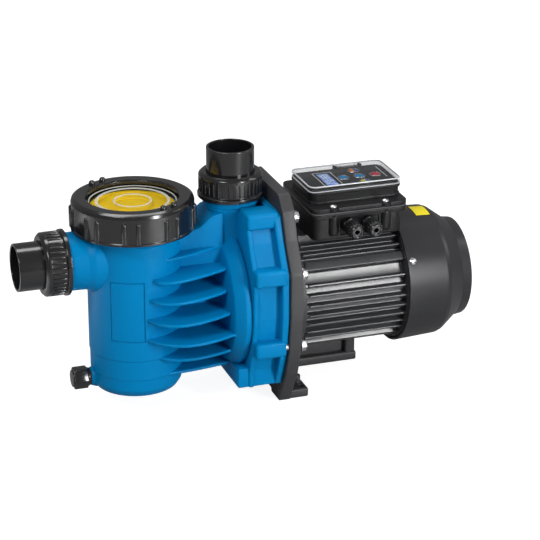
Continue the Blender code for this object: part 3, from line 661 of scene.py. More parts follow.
@dataclass(frozen=True)
class Metal:
    """Bare metal with fine turning or brushing marks along one axis."""

    name: str
    colour: Point3
    roughness: float = 0.22
    stretch: Point3 = (60.0, 900.0, 900.0)

    def material(self) -> bpy.types.Material:
        """Return the metal's material, made once."""
        if self.name in bpy.data.materials:
            return bpy.data.materials[self.name]
        made, shader = new_material(self.name)
        nodes, links = made.node_tree.nodes, made.node_tree.links
        place = nodes.new("ShaderNodeTexCoord")
        brush = nodes.new("ShaderNodeMapping")
        brush.inputs["Scale"].default_value = self.stretch
        marks = nodes.new("ShaderNodeTexNoise")
        marks.inputs["Scale"].default_value = 1.0
        marks.inputs["Detail"].default_value = 4.0
        links.new(place.outputs["Object"], brush.inputs["Vector"])
        links.new(brush.outputs["Vector"], marks.inputs["Vector"])
        dull = nodes.new("ShaderNodeMapRange")
        dull.inputs["To Min"].default_value = self.roughness * 0.6
        dull.inputs["To Max"].default_value = self.roughness * 1.5
        links.new(marks.outputs["Fac"], dull.inputs["Value"])
        links.new(dull.outputs["Result"], shader.inputs["Roughness"])
        ramp = nodes.new("ShaderNodeValToRGB")
        ramp.color_ramp.elements[0].color = (*(c * 0.82 for c in self.colour), 1.0)
        ramp.color_ramp.elements[1].color = (*self.colour, 1.0)
        links.new(marks.outputs["Fac"], ramp.inputs["Fac"])
        links.new(ramp.outputs["Color"], shader.inputs["Base Color"])
        bump = nodes.new("ShaderNodeBump")
        bump.inputs["Strength"].default_value = 0.6
        bump.inputs["Distance"].default_value = 0.02 * MM
        links.new(marks.outputs["Fac"], bump.inputs["Height"])
        links.new(bump.outputs["Normal"], shader.inputs["Normal"])
        shader.inputs["Metallic"].default_value = 1.0
        return made


@dataclass(frozen=True)
class Clear:
    """Clear moulded plastic with faint flow marks, more reflecting at a glancing view."""

    name: str
    colour: Point3 = (0.04, 0.045, 0.04)
    roughness: float = 0.04
    face_on: float = 0.03
    edge_on: float = 0.30
    specular: float = 0.35
    slant: float = 0.35

    def material(self) -> bpy.types.Material:
        """Return the clear plastic's material, made once."""
        if self.name in bpy.data.materials:
            return bpy.data.materials[self.name]
        made, shader = new_material(self.name)
        nodes, links = made.node_tree.nodes, made.node_tree.links
        place = nodes.new("ShaderNodeTexCoord")
        flow = nodes.new("ShaderNodeTexNoise")
        flow.inputs["Scale"].default_value = 40.0
        links.new(place.outputs["Object"], flow.inputs["Vector"])
        wave = nodes.new("ShaderNodeBump")
        wave.inputs["Strength"].default_value = 0.25
        wave.inputs["Distance"].default_value = 0.05 * MM
        links.new(flow.outputs["Fac"], wave.inputs["Height"])
        links.new(wave.outputs["Normal"], shader.inputs["Normal"])
        haze = nodes.new("ShaderNodeMapRange")
        haze.inputs["To Min"].default_value = self.roughness * 0.5
        haze.inputs["To Max"].default_value = self.roughness * 2.0
        links.new(flow.outputs["Fac"], haze.inputs["Value"])
        links.new(haze.outputs["Result"], shader.inputs["Roughness"])
        shader.inputs["Base Color"].default_value = (*self.colour, 1.0)
        shader.inputs["Specular IOR Level"].default_value = self.specular
        slant = nodes.new("ShaderNodeLayerWeight")
        slant.inputs["Blend"].default_value = self.slant
        body = nodes.new("ShaderNodeMapRange")
        body.inputs["To Min"].default_value = self.face_on
        body.inputs["To Max"].default_value = self.edge_on
        links.new(slant.outputs["Facing"], body.inputs["Value"])
        links.new(body.outputs["Result"], shader.inputs["Alpha"])
        return made


@dataclass(frozen=True)
class TwoTone:
    """A coloured button cap printed in two halves."""

    name: str
    left: Point3
    right: Point3
    split_x: float

    def material(self) -> bpy.types.Material:
        """Return the cap's material, made once."""
        made, shader = new_material(self.name)
        nodes, links = made.node_tree.nodes, made.node_tree.links
        place = nodes.new("ShaderNodeTexCoord")
        parts = nodes.new("ShaderNodeSeparateXYZ")
        links.new(place.outputs["Object"], parts.inputs["Vector"])
        side = nodes.new("ShaderNodeMapRange")
        side.inputs["From Min"].default_value = (self.split_x - 0.15) * MM
        side.inputs["From Max"].default_value = (self.split_x + 0.15) * MM
        links.new(parts.outputs["X"], side.inputs["Value"])
        ink = nodes.new("ShaderNodeMix")
        ink.data_type = "RGBA"
        ink.inputs["A"].default_value = (*self.left, 1.0)
        ink.inputs["B"].default_value = (*self.right, 1.0)
        links.new(side.outputs["Result"], ink.inputs["Factor"])
        tint = nodes.new("ShaderNodeGroup")
        tint.node_tree = tint_group()
        tint.inputs["Scale"].default_value = 400.0
        tint.inputs["Spread"].default_value = 0.2
        tint.inputs["Roughness"].default_value = 0.3
        links.new(ink.outputs["Result"], tint.inputs["Color"])
        links.new(tint.outputs["Color"], shader.inputs["Base Color"])
        links.new(tint.outputs["Roughness"], shader.inputs["Roughness"])
        return made


@dataclass(frozen=True)
class Display:
    """A lit display film with soft, uneven light behind it."""

    name: str
    dim: Point3 = (0.10, 0.22, 0.75)
    lit: Point3 = (0.45, 0.65, 1.0)

    def material(self) -> bpy.types.Material:
        """Return the display's material, made once."""
        made, shader = new_material(self.name)
        nodes, links = made.node_tree.nodes, made.node_tree.links
        place = nodes.new("ShaderNodeTexCoord")
        glow = nodes.new("ShaderNodeTexNoise")
        glow.inputs["Scale"].default_value = 160.0
        shades = nodes.new("ShaderNodeValToRGB")
        shades.color_ramp.elements[0].color = (*self.dim, 1.0)
        shades.color_ramp.elements[0].position = 0.35
        shades.color_ramp.elements[1].color = (*self.lit, 1.0)
        shades.color_ramp.elements[1].position = 0.7
        links.new(place.outputs["Object"], glow.inputs["Vector"])
        links.new(glow.outputs["Fac"], shades.inputs["Fac"])
        links.new(shades.outputs["Color"], shader.inputs["Base Color"])
        links.new(shades.outputs["Color"], shader.inputs["Emission Color"])
        shader.inputs["Emission Strength"].default_value = 0.35
        shader.inputs["Roughness"].default_value = 0.12
        return made


class Finishes:
    """The pump's finishes, by the name of the thing that they cover."""

    casing = Skin(
        "blue_casing", (0.0, 0.205, 0.48), roughness=0.36, cloud_scale=10.0, roughness_spread=0.08,
        grain_scale=500.0, grain_depth=0.012, edge=1.3, specular=0.07,
    )
    gloss = Skin(
        "black_gloss", (0.008, 0.008, 0.009), roughness=0.17, spread=0.3, cloud_scale=20.0, grain_scale=600.0,
        grain_depth=0.006, edge=0.4, specular=0.85,
    )
    satin = Skin(
        "black_satin", (0.02, 0.02, 0.022), roughness=0.42, spread=0.3, cloud_scale=20.0,
        roughness_spread=0.12, grain_scale=900.0, grain_depth=0.03, edge=0.5,
    )
    grey = Skin(
        "grained_grey", (0.040, 0.040, 0.043), roughness=0.5, spread=0.25, cloud_scale=25.0,
        grain_scale=1100.0, grain_depth=0.06, pits=0.7, edge=0.6,
    )
    cowl = Skin(
        "cowl_grey", (0.026, 0.026, 0.029), roughness=0.34, spread=0.15, cloud_scale=16.0,
        roughness_spread=0.08, grain_scale=1300.0, grain_depth=0.012, pits=0.5, edge=0.6, specular=0.3,
    )
    box_grey = Skin(
        "box_grey", (0.009, 0.009, 0.010), roughness=0.36, spread=0.25, cloud_scale=25.0, grain_scale=1200.0,
        pits=0.5, edge=0.6, specular=0.27,
    )
    gasket = Skin(
        "pale_gasket", (0.10, 0.10, 0.105), roughness=0.6, cloud_scale=40.0, grain_scale=900.0,
        grain_depth=0.01, edge=0.0,
    )
    # Pale glossy bands for the clear hood's rim and foot: a painted highlight for the light those clear edges
    # catch.
    edge_highlight_paint = Skin(
        "bright_edge", (0.62, 0.65, 0.68), roughness=0.15, spread=0.2, cloud_scale=60.0, grain_scale=500.0,
        grain_depth=0.01, edge=0.2,
    )
    motor = Skin(
        "motor_paint", (0.034, 0.035, 0.038), roughness=0.29, spread=0.3, cloud_scale=30.0,
        roughness_spread=0.12, grain_scale=1300.0, edge=0.6, specular=0.75,
    )
    yellow = Skin(
        "yellow_basket", (1.0, 0.66, 0.0), spread=0.6, cloud_scale=34.0, grain_scale=400.0, edge=0.4,
        specular=0.2,
    )
    rubber = Skin(
        "seal_rubber", (0.018, 0.018, 0.018), roughness=0.75, spread=0.3, cloud_scale=40.0, grain_scale=900.0,
        grain_depth=0.03, edge=0.0,
    )
    keypad = Skin(
        "keypad_film", (0.010, 0.010, 0.011), roughness=0.28, spread=0.3, cloud_scale=30.0,
        grain_scale=1500.0, grain_depth=0.01, edge=0.2,
    )
    board = Skin(
        "board_lacquer", (0.01, 0.12, 0.04), roughness=0.45, spread=0.5, cloud_scale=300.0,
        roughness_spread=0.2, grain_scale=900.0, grain_depth=0.03, edge=0.0,
    )
    ceramic = Skin(
        "seal_ceramic", (0.75, 0.72, 0.66), roughness=0.3, cloud_scale=40.0, grain_scale=900.0,
        grain_depth=0.01, edge=0.0,
    )
    label = Skin(
        "yellow_label", (0.9, 0.75, 0.01), cloud_scale=60.0, grain_scale=900.0, grain_depth=0.01, edge=0.0,
    )
    print_black = Skin(
        "label_ink", (0.01, 0.01, 0.01), roughness=0.4, cloud_scale=60.0, grain_scale=900.0, grain_depth=0.01,
        edge=0.0,
    )
    print_white = Skin(
        "white_ink", (0.8, 0.8, 0.82), roughness=0.4, spread=0.05, cloud_scale=60.0, grain_scale=900.0,
        grain_depth=0.01, edge=0.0,
    )
    steel = Metal("turned_steel", (0.60, 0.60, 0.62), roughness=0.28)
    silver = Metal("silver_ring", (0.8, 0.8, 0.82), roughness=0.25, stretch=(900.0, 900.0, 60.0))
    iron = Metal("laminated_iron", (0.30, 0.30, 0.32), roughness=0.45, stretch=(2500.0, 60.0, 60.0))
    copper = Metal("wound_copper", (0.62, 0.25, 0.10), roughness=0.35, stretch=(2500.0, 300.0, 300.0))
    clear = Clear("lid_clear", (0.03, 0.035, 0.01), roughness=0.03, face_on=0.02, edge_on=0.20)
    hood = Clear("clear_hood", (0.05, 0.055, 0.06), roughness=0.05, face_on=0.04, edge_on=0.36)
    # Pale clear plastic for the lid's moulded rings: the pale colour is a painted reflection of the gleam the
    # rings catch.
    ridge_painted_reflection = Clear("frosted_plastic", (0.80, 0.82, 0.80), roughness=0.2, face_on=0.30, edge_on=0.70)
    red = Skin(
        "red_cap", (0.62, 0.01, 0.05), roughness=0.3, spread=0.2, cloud_scale=300.0, grain_scale=900.0,
        grain_depth=0.01, edge=0.2,
    )
    blue = Skin(
        "blue_cap", (0.0, 0.26, 0.60), roughness=0.3, spread=0.2, cloud_scale=300.0, grain_scale=900.0,
        grain_depth=0.01, edge=0.2,
    )


def dress(
    piece: bpy.types.Object,
    finish: Skin | Metal | Clear | TwoTone,
    body: str,
    stands_for: Sequence[str] = (),
    angle: float = 32.0,
) -> bpy.types.Object:
    """Give a piece its finish and shading, and tie it to the frame.

    Args:
        piece: the finished mesh.
        finish: its finish.
        body: the body that it rides on.
        stands_for: the frame's nodes that it replaces.
        angle: edges sharper than this many degrees stay sharp.

    Returns:
        The piece.
    """
    take(piece)
    bpy.ops.object.shade_smooth_by_angle(angle=math.radians(angle))
    piece.data.materials.clear()
    piece.data.materials.append(finish.material())
    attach(piece, body)
    if stands_for:
        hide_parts(*stands_for)
    LOG.info("%s rides on %s: %d faces", piece.name, body, len(piece.data.polygons))
    return piece


# ------------------------------------------------------------------ datum
@dataclass(frozen=True)
class Datum:
    """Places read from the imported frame, in millimetres."""

    shaft_z: float
    pot_x: float
    pot_top: float
    ring_low: float
    ring_high: float
    suction_z: float
    suction_face: float
    outlet_x: float
    outlet_face: float

    @classmethod
    def from_frame(cls) -> "Datum":
        """Measure the frame's nodes and return the datum."""

        def low(node: str, axis: int) -> float:
            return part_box(node)[0][axis] / MM

        def high(node: str, axis: int) -> float:
            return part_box(node)[1][axis] / MM

        def middle(node: str, axis: int) -> float:
            return (low(node, axis) + high(node, axis)) / 2

        return cls(
            shaft_z=middle("fan_cover", 2),
            pot_x=middle("clear_lid", 0),
            pot_top=low("lid_seal", 2) - 0.3,
            ring_low=low("lid_ring", 2),
            ring_high=high("clear_lid", 2) + 5.0,
            suction_z=middle("suction_nut", 2),
            suction_face=high("suction_nut", 0) + 0.3,
            outlet_x=middle("discharge_nut", 0),
            outlet_face=low("discharge_nut", 2) - 0.3,
        )

    def pot(self) -> Point3:
        """Return the pot axis's origin."""
        return self.pot_x, 0.0, 0.0

    def shaft(self) -> Point3:
        """Return the shaft axis's origin."""
        return 0.0, 0.0, self.shaft_z

    def suction(self) -> Point3:
        """Return the suction axis's origin, on the casing's face."""
        return self.suction_face, 0.0, self.suction_z

    def outlet(self) -> Point3:
        """Return the discharge axis's origin, on the casing's face."""
        return self.outlet_x, 0.0, self.outlet_face


# ------------------------------------------------------------------ wet end
@dataclass(frozen=True)
class Casing:
    """Blue casing: strainer pot, necks, webs, volute, pillars and bolting flange."""

    datum: Datum
    pot_r: float = 49.0
    pot_wall: float = 4.0
    collar_r: float = 57.0
    cavity_r: float = 65.0
    web_thick: float = 3.4
    webs: tuple[tuple[float, tuple[Point2, Point2, Point2]], ...] = (
        (172.0, ((-128.0, 44.0), (-93.0, 35.5), (-50.5, 15.0))),
        (154.0, ((-142.0, 48.0), (-119.5, 62.0), (-57.0, 40.0))),
        (132.5, ((-146.0, 49.0), (-117.5, 68.0), (-59.0, 48.0))),
        (111.0, ((-149.0, 49.0), (-119.0, 75.5), (-60.0, 58.0))),
        (89.0, ((-150.0, 49.0), (-115.5, 77.0), (-63.0, 66.0))),
        (66.0, ((-136.0, 47.0), (-108.0, 61.0), (-62.0, 52.0))),
        (44.5, ((-125.0, 42.0), (-96.0, 40.0), (-64.0, 35.0))),
    )
    panel_edge: tuple[Point3, ...] = (
        (40, 208, 4), (50, 205, 5), (59, 184, 12), (76, 153, 14), (76, 107, 14), (71, 73, 14),
        (60, 44, 8), (60, BASE_Z, 2),
    )
    flange_edge: tuple[Point3, ...] = (
        (43, 214, 5), (57, 212, 6), (67, 187, 12), (85, 156, 14), (85, 107, 14), (80, 72, 14),
        (68, 42, 10), (60, BASE_Z, 2),
    )
    bridge_edge: tuple[Point3, ...] = (
        (-112, 150, 0), (-58, 150, 0), (-58, 209, 2), (-69, 207, 6), (-84, 195.5, 14), (-112, 189, 0),
    )

    def pot(self) -> bpy.types.Object:
        """Return the strainer pot with its collar and the steps near its foot."""
        top = self.datum.pot_top
        profile = (
            (0, top), (self.collar_r, top, 0.8), (self.collar_r, 200.0, 3), (self.pot_r, 190.5, 4),
            (self.pot_r, 66.0, 0.6), (self.pot_r - 0.8, 65.0, 0.4), (self.pot_r - 0.8, 44.5, 0.4),
            (self.pot_r - 1.3, 43.4, 0.4), (self.pot_r - 1.4, 31, 4), (self.pot_r - 5.6, 24.4, 4),
            (self.pot_r - 13, 22.0, 3), (0, 22.0),
        )
        return lathe("casing_shell", profile, self.datum.pot(), sides=128)

    def necks(self) -> list[bpy.types.Object]:
        """Return the suction neck, the discharge neck, their spigots and the drain boss."""
        datum = self.datum
        reach = datum.pot_x - datum.suction_face
        axis_in = (datum.pot_x, 0.0, datum.suction_z)
        flare = ((0, 20), (33.5, 30), (33.2, 48, 4), (30.6, 54.5, 6), (30.2, reach, 0.8), (0, reach))
        spigot = ((0, 20), (28, 20), (28, reach + 17, 1), (0, reach + 17))
        neck = (
            (0, 150), (24.5, 150), (24.8, 183, 8), (26.6, 210, 4), (29.5, 214.5, 2),
            (29.5, datum.outlet_face, 0.8), (0, datum.outlet_face),
        )
        outlet = (datum.outlet_x, 0.0, 0.0)
        top = ((0, 160), (28, 210), (28, datum.outlet_face + 17, 1), (0, datum.outlet_face + 17))
        boss = ((0, 20), (11.5, 40), (11.5, 45, 3), (9.5, 50.5, 0.5), (0, 50.5))
        drain = (datum.pot_x, 0.0, DRAIN_Z)
        return [
            lathe("neck_in", flare, axis_in, Axis.BACK, 96),
            lathe("spigot_in", spigot, axis_in, Axis.BACK, 96),
            lathe("neck_out", neck, outlet, Axis.UP, 96),
            lathe("spigot_out", top, outlet, Axis.UP, 96),
            lathe("drain_boss", boss, drain, Axis.BACK, 48),
        ]

    def volute(self) -> list[bpy.types.Object]:
        """Return the volute with its rounded rim, the duct and the plates behind it."""
        shaft = self.datum.shaft()
        rim = (
            (0, -12), (70, -12), (70, -42, 3), (74.8, -44.5, 1.5), (76, -46.5, 1.5), (76, -50.5, 2.2),
            (72.5, -54.5, 4), (67, -60.5, 6), (34, -65, 6), (0, -65),
        )
        duct = ((0, -125), (24, -125), (24, -72, 6), (33, -62), (0, -62))
        return [
            lathe("volute", rim, shaft, Axis.FORWARD, 144),
            lathe("duct", duct, shaft, Axis.FORWARD, 64),
            prism("panel_body", mirrored(self.panel_edge), -41, -10, Plane.YZ, 1.6),
            prism("panel_rail", mirrored(self.rail_edge()), -43.5, -38.0, Plane.YZ, 1.6),
            prism("flange", mirrored(self.flange_edge), -14.5, -6.8, Plane.YZ, 1.2),
            block("base_block", (-55, -60, BASE_Z), (-16, 60, 47), 2.0),
            prism("bridge", self.bridge_edge, -23, 23, Plane.XZ, 11.0),
            block("spine", (-114, -2.5, 44), (-58, 2.5, 176), 1.0),
        ]

    def rail_edge(self) -> list[Point3]:
        """Return the outline of the raised rail along the front of the panels."""
        centre = self.datum.shaft_z
        edge = [(y + 2.2, centre + (z - centre) * 1.02, r) for y, z, r in self.panel_edge[:-1]]
        return edge + [(62.0, BASE_Z, 2)]

    def web(self, level: float, line: Sequence[Point2]) -> bpy.types.Object:
        """Make one thin horizontal web.

        Args:
            level: its middle height.
            line: its outer edge's start, middle and end, on the +Y side.

        Returns:
            The web, across both sides of the pump.
        """
        start, middle, end = (Vector(p) for p in line)
        pull = middle * 2 - (start + end) / 2
        root = Vector((start.x - 6, max(start.y - 14, 2)))
        side = [root]
        steps = 16
        for i in range(steps + 1):
            t = i / steps
            side.append(start * (1 - t) ** 2 + pull * 2 * t * (1 - t) + end * t * t)
        side.append(Vector((end.x + 8, end.y - 1)))
        outline = [(p.x, p.y) for p in side] + [(p.x, -p.y) for p in reversed(side)]
        low, high = level - self.web_thick / 2, level + self.web_thick / 2
        return prism(f"web_{level:.0f}", outline, low, high, Plane.XY, 1.3)

    def pillars(self) -> list[bpy.types.Object]:
        """Return the rounded bolt pillars on both sides."""
        made = []
        for i, (y, z) in enumerate(BOLTS):
            for side in (-1, 1):
                ends = sorted((side * (y - 22), side * (y + 6.5)))
                low = (-43.5 + i * 0.4, ends[0], z - 8.5)
                made.append(block(f"pillar_{i}_{side}", low, (-9.5, ends[1], z + 8.5), 3.0, 4))
        return made

    def hollows(self) -> list[bpy.types.Object]:
        """Return the cutters of the pot, the pipes, the volute and the bolt holes."""
        datum = self.datum
        inner = self.pot_r - self.pot_wall
        well = (
            (0, 27), (inner - 2.7, 27), (inner, 31), (inner, 212, 0.4), (self.pot_r, 212),
            (self.pot_r, 225), (0, 225),
        )
        cavity = (
            (0, -52), (self.cavity_r, -52, 3), (self.cavity_r, -9.6), (self.cavity_r + 4, -9.6),
            (self.cavity_r + 4, 5), (0, 5),
        )
        clearance = ((57.9, 196.9), (68, 196.9), (68, 240), (57.9, 240))
        shaft = datum.shaft()
        cutters = [
            lathe("well", well, datum.pot(), sides=128),
            lathe("cavity", cavity, shaft, Axis.FORWARD, 128),
            lathe("ring_clearance", clearance, datum.pot(), sides=96, ring=True),
            rod("bore_in", 20, 15, 100, (datum.pot_x, 0, datum.suction_z), Axis.BACK, 64),
            rod("bore_out", 19.5, 130, 250, (datum.outlet_x, 0, 0), Axis.UP, 64),
            rod("duct_bore", 17.5, -120, -49, shaft, Axis.FORWARD, 48),
            rod("drain_bore", 6, 30, 60, (datum.pot_x, 0, DRAIN_Z), Axis.BACK, 32),
        ]
        for i, (y, z) in enumerate(BOLTS):
            for side in (-1, 1):
                at = (0, side * y, z)
                cutters.append(rod(f"bolt_hole_{i}_{side}", BOLT_HOLE_R, -32, 1, at, Axis.FORWARD, 24))
        return cutters

    def label_panel(self) -> tuple[bpy.types.Object, bpy.types.Object]:
        """Return the pocket and the plain curved panel that sits in it."""
        outer, inner = self.pot_r + 1, self.pot_r - 0.9
        pocket = ((inner, 87), (outer, 87), (outer, 153), (inner, 153))
        face = self.pot_r - 0.15
        panel = ((inner - 1, 88), (face, 88, 0.5), (face, 152, 0.5), (inner - 1, 152))
        return (
            lathe("label_pocket", pocket, self.datum.pot(), sides=144, ring=True, arc=(-135.8, 42.6)),
            lathe("label_panel", panel, self.datum.pot(), sides=144, ring=True, arc=(-135, 41)),
        )

    def build(self) -> None:
        """Build and dress the casing."""
        shell = self.pot()
        webs = [self.web(level, line) for level, line in self.webs]
        unite(shell, [*self.necks(), *self.volute(), *webs, *self.pillars()])
        pocket, panel = self.label_panel()
        carve(shell, [pocket])
        unite(shell, [panel])
        carve(shell, self.hollows())
        dress(shell, Finishes.casing, "pump", ["pump_casing"])


@dataclass(frozen=True)
class Strainer:
    """Screw ring, clear lid and yellow basket of the strainer pot."""

    datum: Datum
    ring_r: float = 63.6
    window_r: float = 47.5
    pairs: int = 9
    first_pair: float = -106.6
    pair_half: float = 6.5
    rib_r: float = 2.8
    knob_r: float = 3.4
    knob_angles: tuple[float, ...] = (-71.0, -56.0, 109.0, 124.0)
    beads: tuple[Point2, ...] = ((19.0, 1.2), (37.2, 1.7), (45.0, 0.7))
    lid_r: float = 57.5
    basket_r: float = 41.5
    slot_rows: int = 8
    slot_columns: int = 24
    slot_pitch: float = 13.0

    def screw_ring(self) -> None:
        """Build the black screw ring with its paired round-topped ribs and small knobs."""
        low, top = self.datum.ring_low, self.datum.ring_high
        r = self.ring_r
        profile = (
            (self.window_r + 1.5, top, 0.5), (59.2, top, 0.8), (62.6, top - 1.9, 1), (r, top - 5, 1.5),
            (r, low + 3.2, 0.6), (r + 0.7, low + 2.4, 0.6), (r + 0.7, low, 0.6), (58.4, low),
            (58.4, LID_SEAT), (self.window_r, LID_SEAT), (self.window_r, top - 1.5, 0.5),
        )
        ring = lathe("screw_ring", profile, self.datum.pot(), sides=144, ring=True)
        x = self.datum.pot_x
        spine = (x + self.ring_r - self.rib_r / 4, 0, 0)
        bar = rod("ring_rib", self.rib_r, low + 0.3, top - 8.4, spine, Axis.UP, 32, self.rib_r - 0.2)
        pot = self.datum.pot()
        places = []
        for pair in range(self.pairs):
            for offset in (-self.pair_half, self.pair_half):
                places += around(1, pot, "Z", 360.0 / self.pairs * pair + offset + self.first_pair)
        ribs = copies(bar, places)
        knob = rod(
            "ring_knob", self.knob_r, top - 2, top + 4.2, (x + 55, 0, 0), Axis.UP, 32, self.knob_r - 0.2,
        )
        spots = []
        for degrees in self.knob_angles:
            spots += around(1, pot, "Z", degrees)
        unite(ring, [merge("ring_ribs", ribs), merge("ring_knobs", copies(knob, spots))])
        dress(ring, Finishes.gloss, "screw_ring", ["lid_ring"])

    def lid(self) -> None:
        """Build the clear lid and the moulded rings in it, whose pale colour is a painted reflection."""
        profile = (
            (0, LID_TOP), (45.8, LID_TOP, 0.5), (47.0, 226.6, 0.5), (self.lid_r, 226.6, 0.4),
            (self.lid_r, 219.5, 0.4), (48.5, 219.5, 0.4), (46.0, 222.6, 1.5), (0, 222.6),
        )
        lid = lathe("clear_cover", profile, self.datum.pot(), sides=128)
        dress(lid, Finishes.clear, "lid", ["clear_lid"])
        rings = []
        for number, (radius, half) in enumerate(self.beads):
            rise = ((radius - half * 0.6, 226.1, 0.4), (radius + half * 0.6, 226.1, 0.4))
            bead = ((radius - half, 225.35), *rise, (radius + half, 225.35))
            rings.append(lathe(f"lid_bead_{number}", bead, self.datum.pot(), sides=96, ring=True))
        # The rings are real ridges; their pale colour is a painted reflection.
        dress(merge("lid_beads", rings), Finishes.ridge_painted_reflection, "lid")

    def basket(self) -> None:
        """Build the yellow basket with its slotted wall and ringed top."""
        r = self.basket_r
        wall = (
            (0, 221), (16, 221, 0.3), (17, 220.2, 0.3), (21, 220.2, 0.3), (22, 221, 0.3),
            (35, 221, 0.3), (36, 220.2, 0.3), (39, 220.2, 0.3), (40, 221, 0.3), (44.5, 221, 0.8),
            (45, 215), (48.4, 215, 0.4), (48.4, 212.3), (r + 0.5, 212.3), (r, 30, 2), (0, 30),
        )
        hollow = ((0, 32), (r - 1.8, 32, 2), (r - 1.8, 219), (0, 219))
        basket = lathe("basket", wall, self.datum.pot(), sides=96)
        carve(basket, [lathe("basket_hollow", hollow, self.datum.pot(), sides=96)])
        slots = []
        x = self.datum.pot_x
        for row in range(self.slot_rows):
            level = 36.0 + row * self.slot_pitch
            slot = block("basket_slot", (x + r - 4, -2.0, level), (x + r + 3, 2.0, level + 9), 0.8, 2)
            slots += copies(slot, around(self.slot_columns, self.datum.pot(), "Z", 7.5))
        carve(basket, [merge("basket_slots", slots)])
        inlet = (x, 0.0, self.datum.suction_z)
        carve(basket, [rod("basket_inlet", 22, 25, 60, inlet, Axis.BACK, 48)])
        dress(basket, Finishes.yellow, "basket", ["strainer_basket"])

    def build(self) -> None:
        """Build all the strainer's pieces."""
        self.screw_ring()
        self.lid()
        self.basket()


@dataclass(frozen=True)
class Union:
    """Pipe union: a ribbed nut over a plain tailpiece."""

    prefix: str
    face: Point3
    axis: Axis
    length: float = 53.0
    nut_length: float = 27.0
    flange_r: float = 34.6
    barrel_r: float = 32.2
    rib_count: int = 36
    tube_r: float = 25.0
    bore_r: float = 22.4

    def nut(self) -> None:
        """Build the nut with its flange, fine ribs and rounded collar."""
        end = self.nut_length
        profile = (
            (28.9, 0.3), (self.flange_r, 0.3, 0.6), (self.flange_r, 4.4, 1.0), (self.barrel_r, 5.2, 0.6),
            (self.barrel_r, 20.2, 0.4), (33.3, 20.8, 0.5), (33.3, 24.2, 2.2), (30.4, end, 1.4),
            (25.4, end, 0.4), (25.4, 23.2), (28.9, 23.2),
        )
        nut = lathe(f"{self.prefix}_union_nut", profile, (0, 0, 0), Axis.UP, 108, ring=True)
        rib = block("nut_rib", (self.barrel_r - 1.5, -0.95, 6.2), (33.4, 0.95, 21.5), 0.8, 3)
        ribs = merge("nut_ribs", copies(rib, around(self.rib_count, (0, 0, 0), "Z")))
        unite(nut, [ribs])
        settle(nut, self.axis.turn(), self.face)
        node = f"{self.prefix}_nut"
        dress(nut, Finishes.gloss, node, [node])

    def tail(self) -> None:
        """Build the tailpiece with its shouldered foot."""
        profile = (
            (self.bore_r, self.length, 0.5), (self.tube_r, self.length, 0.7), (self.tube_r, 22.8),
            (28.3, 22.8, 0.3), (28.3, 19.2, 0.3), (21.0, 19.2), (21.0, 25.2, 1.0), (self.bore_r, 27.0, 1.0),
        )
        tail = lathe(f"{self.prefix}_pipe_end", profile, self.face, self.axis, 108, ring=True)
        dress(
            tail, Finishes.gloss, f"{self.prefix}_tail", [f"{self.prefix}_tailpiece"],
        )

    def build(self) -> None:
        """Build both pieces."""
        self.nut()
        self.tail()


@dataclass(frozen=True)
class Drain:
    """Hexagonal drain plug at the pot's foot."""

    datum: Datum
    head_r: float = 12.4
    head_low: float = 54.0
    head_high: float = 70.5

    def build(self) -> None:
        """Build and dress the plug."""
        at = (self.datum.pot_x, 0.0, DRAIN_Z)
        flange = ((0, 44), (5.6, 44, 0.5), (5.6, 52.6), (10, 52.6, 0.4), (10, 55, 0.8), (0, 55))
        plug = lathe("drain_knob", flange, at, Axis.BACK, 64)
        head = rod("plug_head", self.head_r, self.head_low, self.head_high - 1.5, at, Axis.BACK, 6, 1.2)
        crown = (
            (0, self.head_high - 5), (9.6, self.head_high - 5), (9.2, self.head_high, 1.2),
            (0, self.head_high),
        )
        unite(plug, [head, lathe("plug_crown", crown, at, Axis.BACK, 48)])
        dress(plug, Finishes.gloss, "drain_plug", ["drain_plug"])


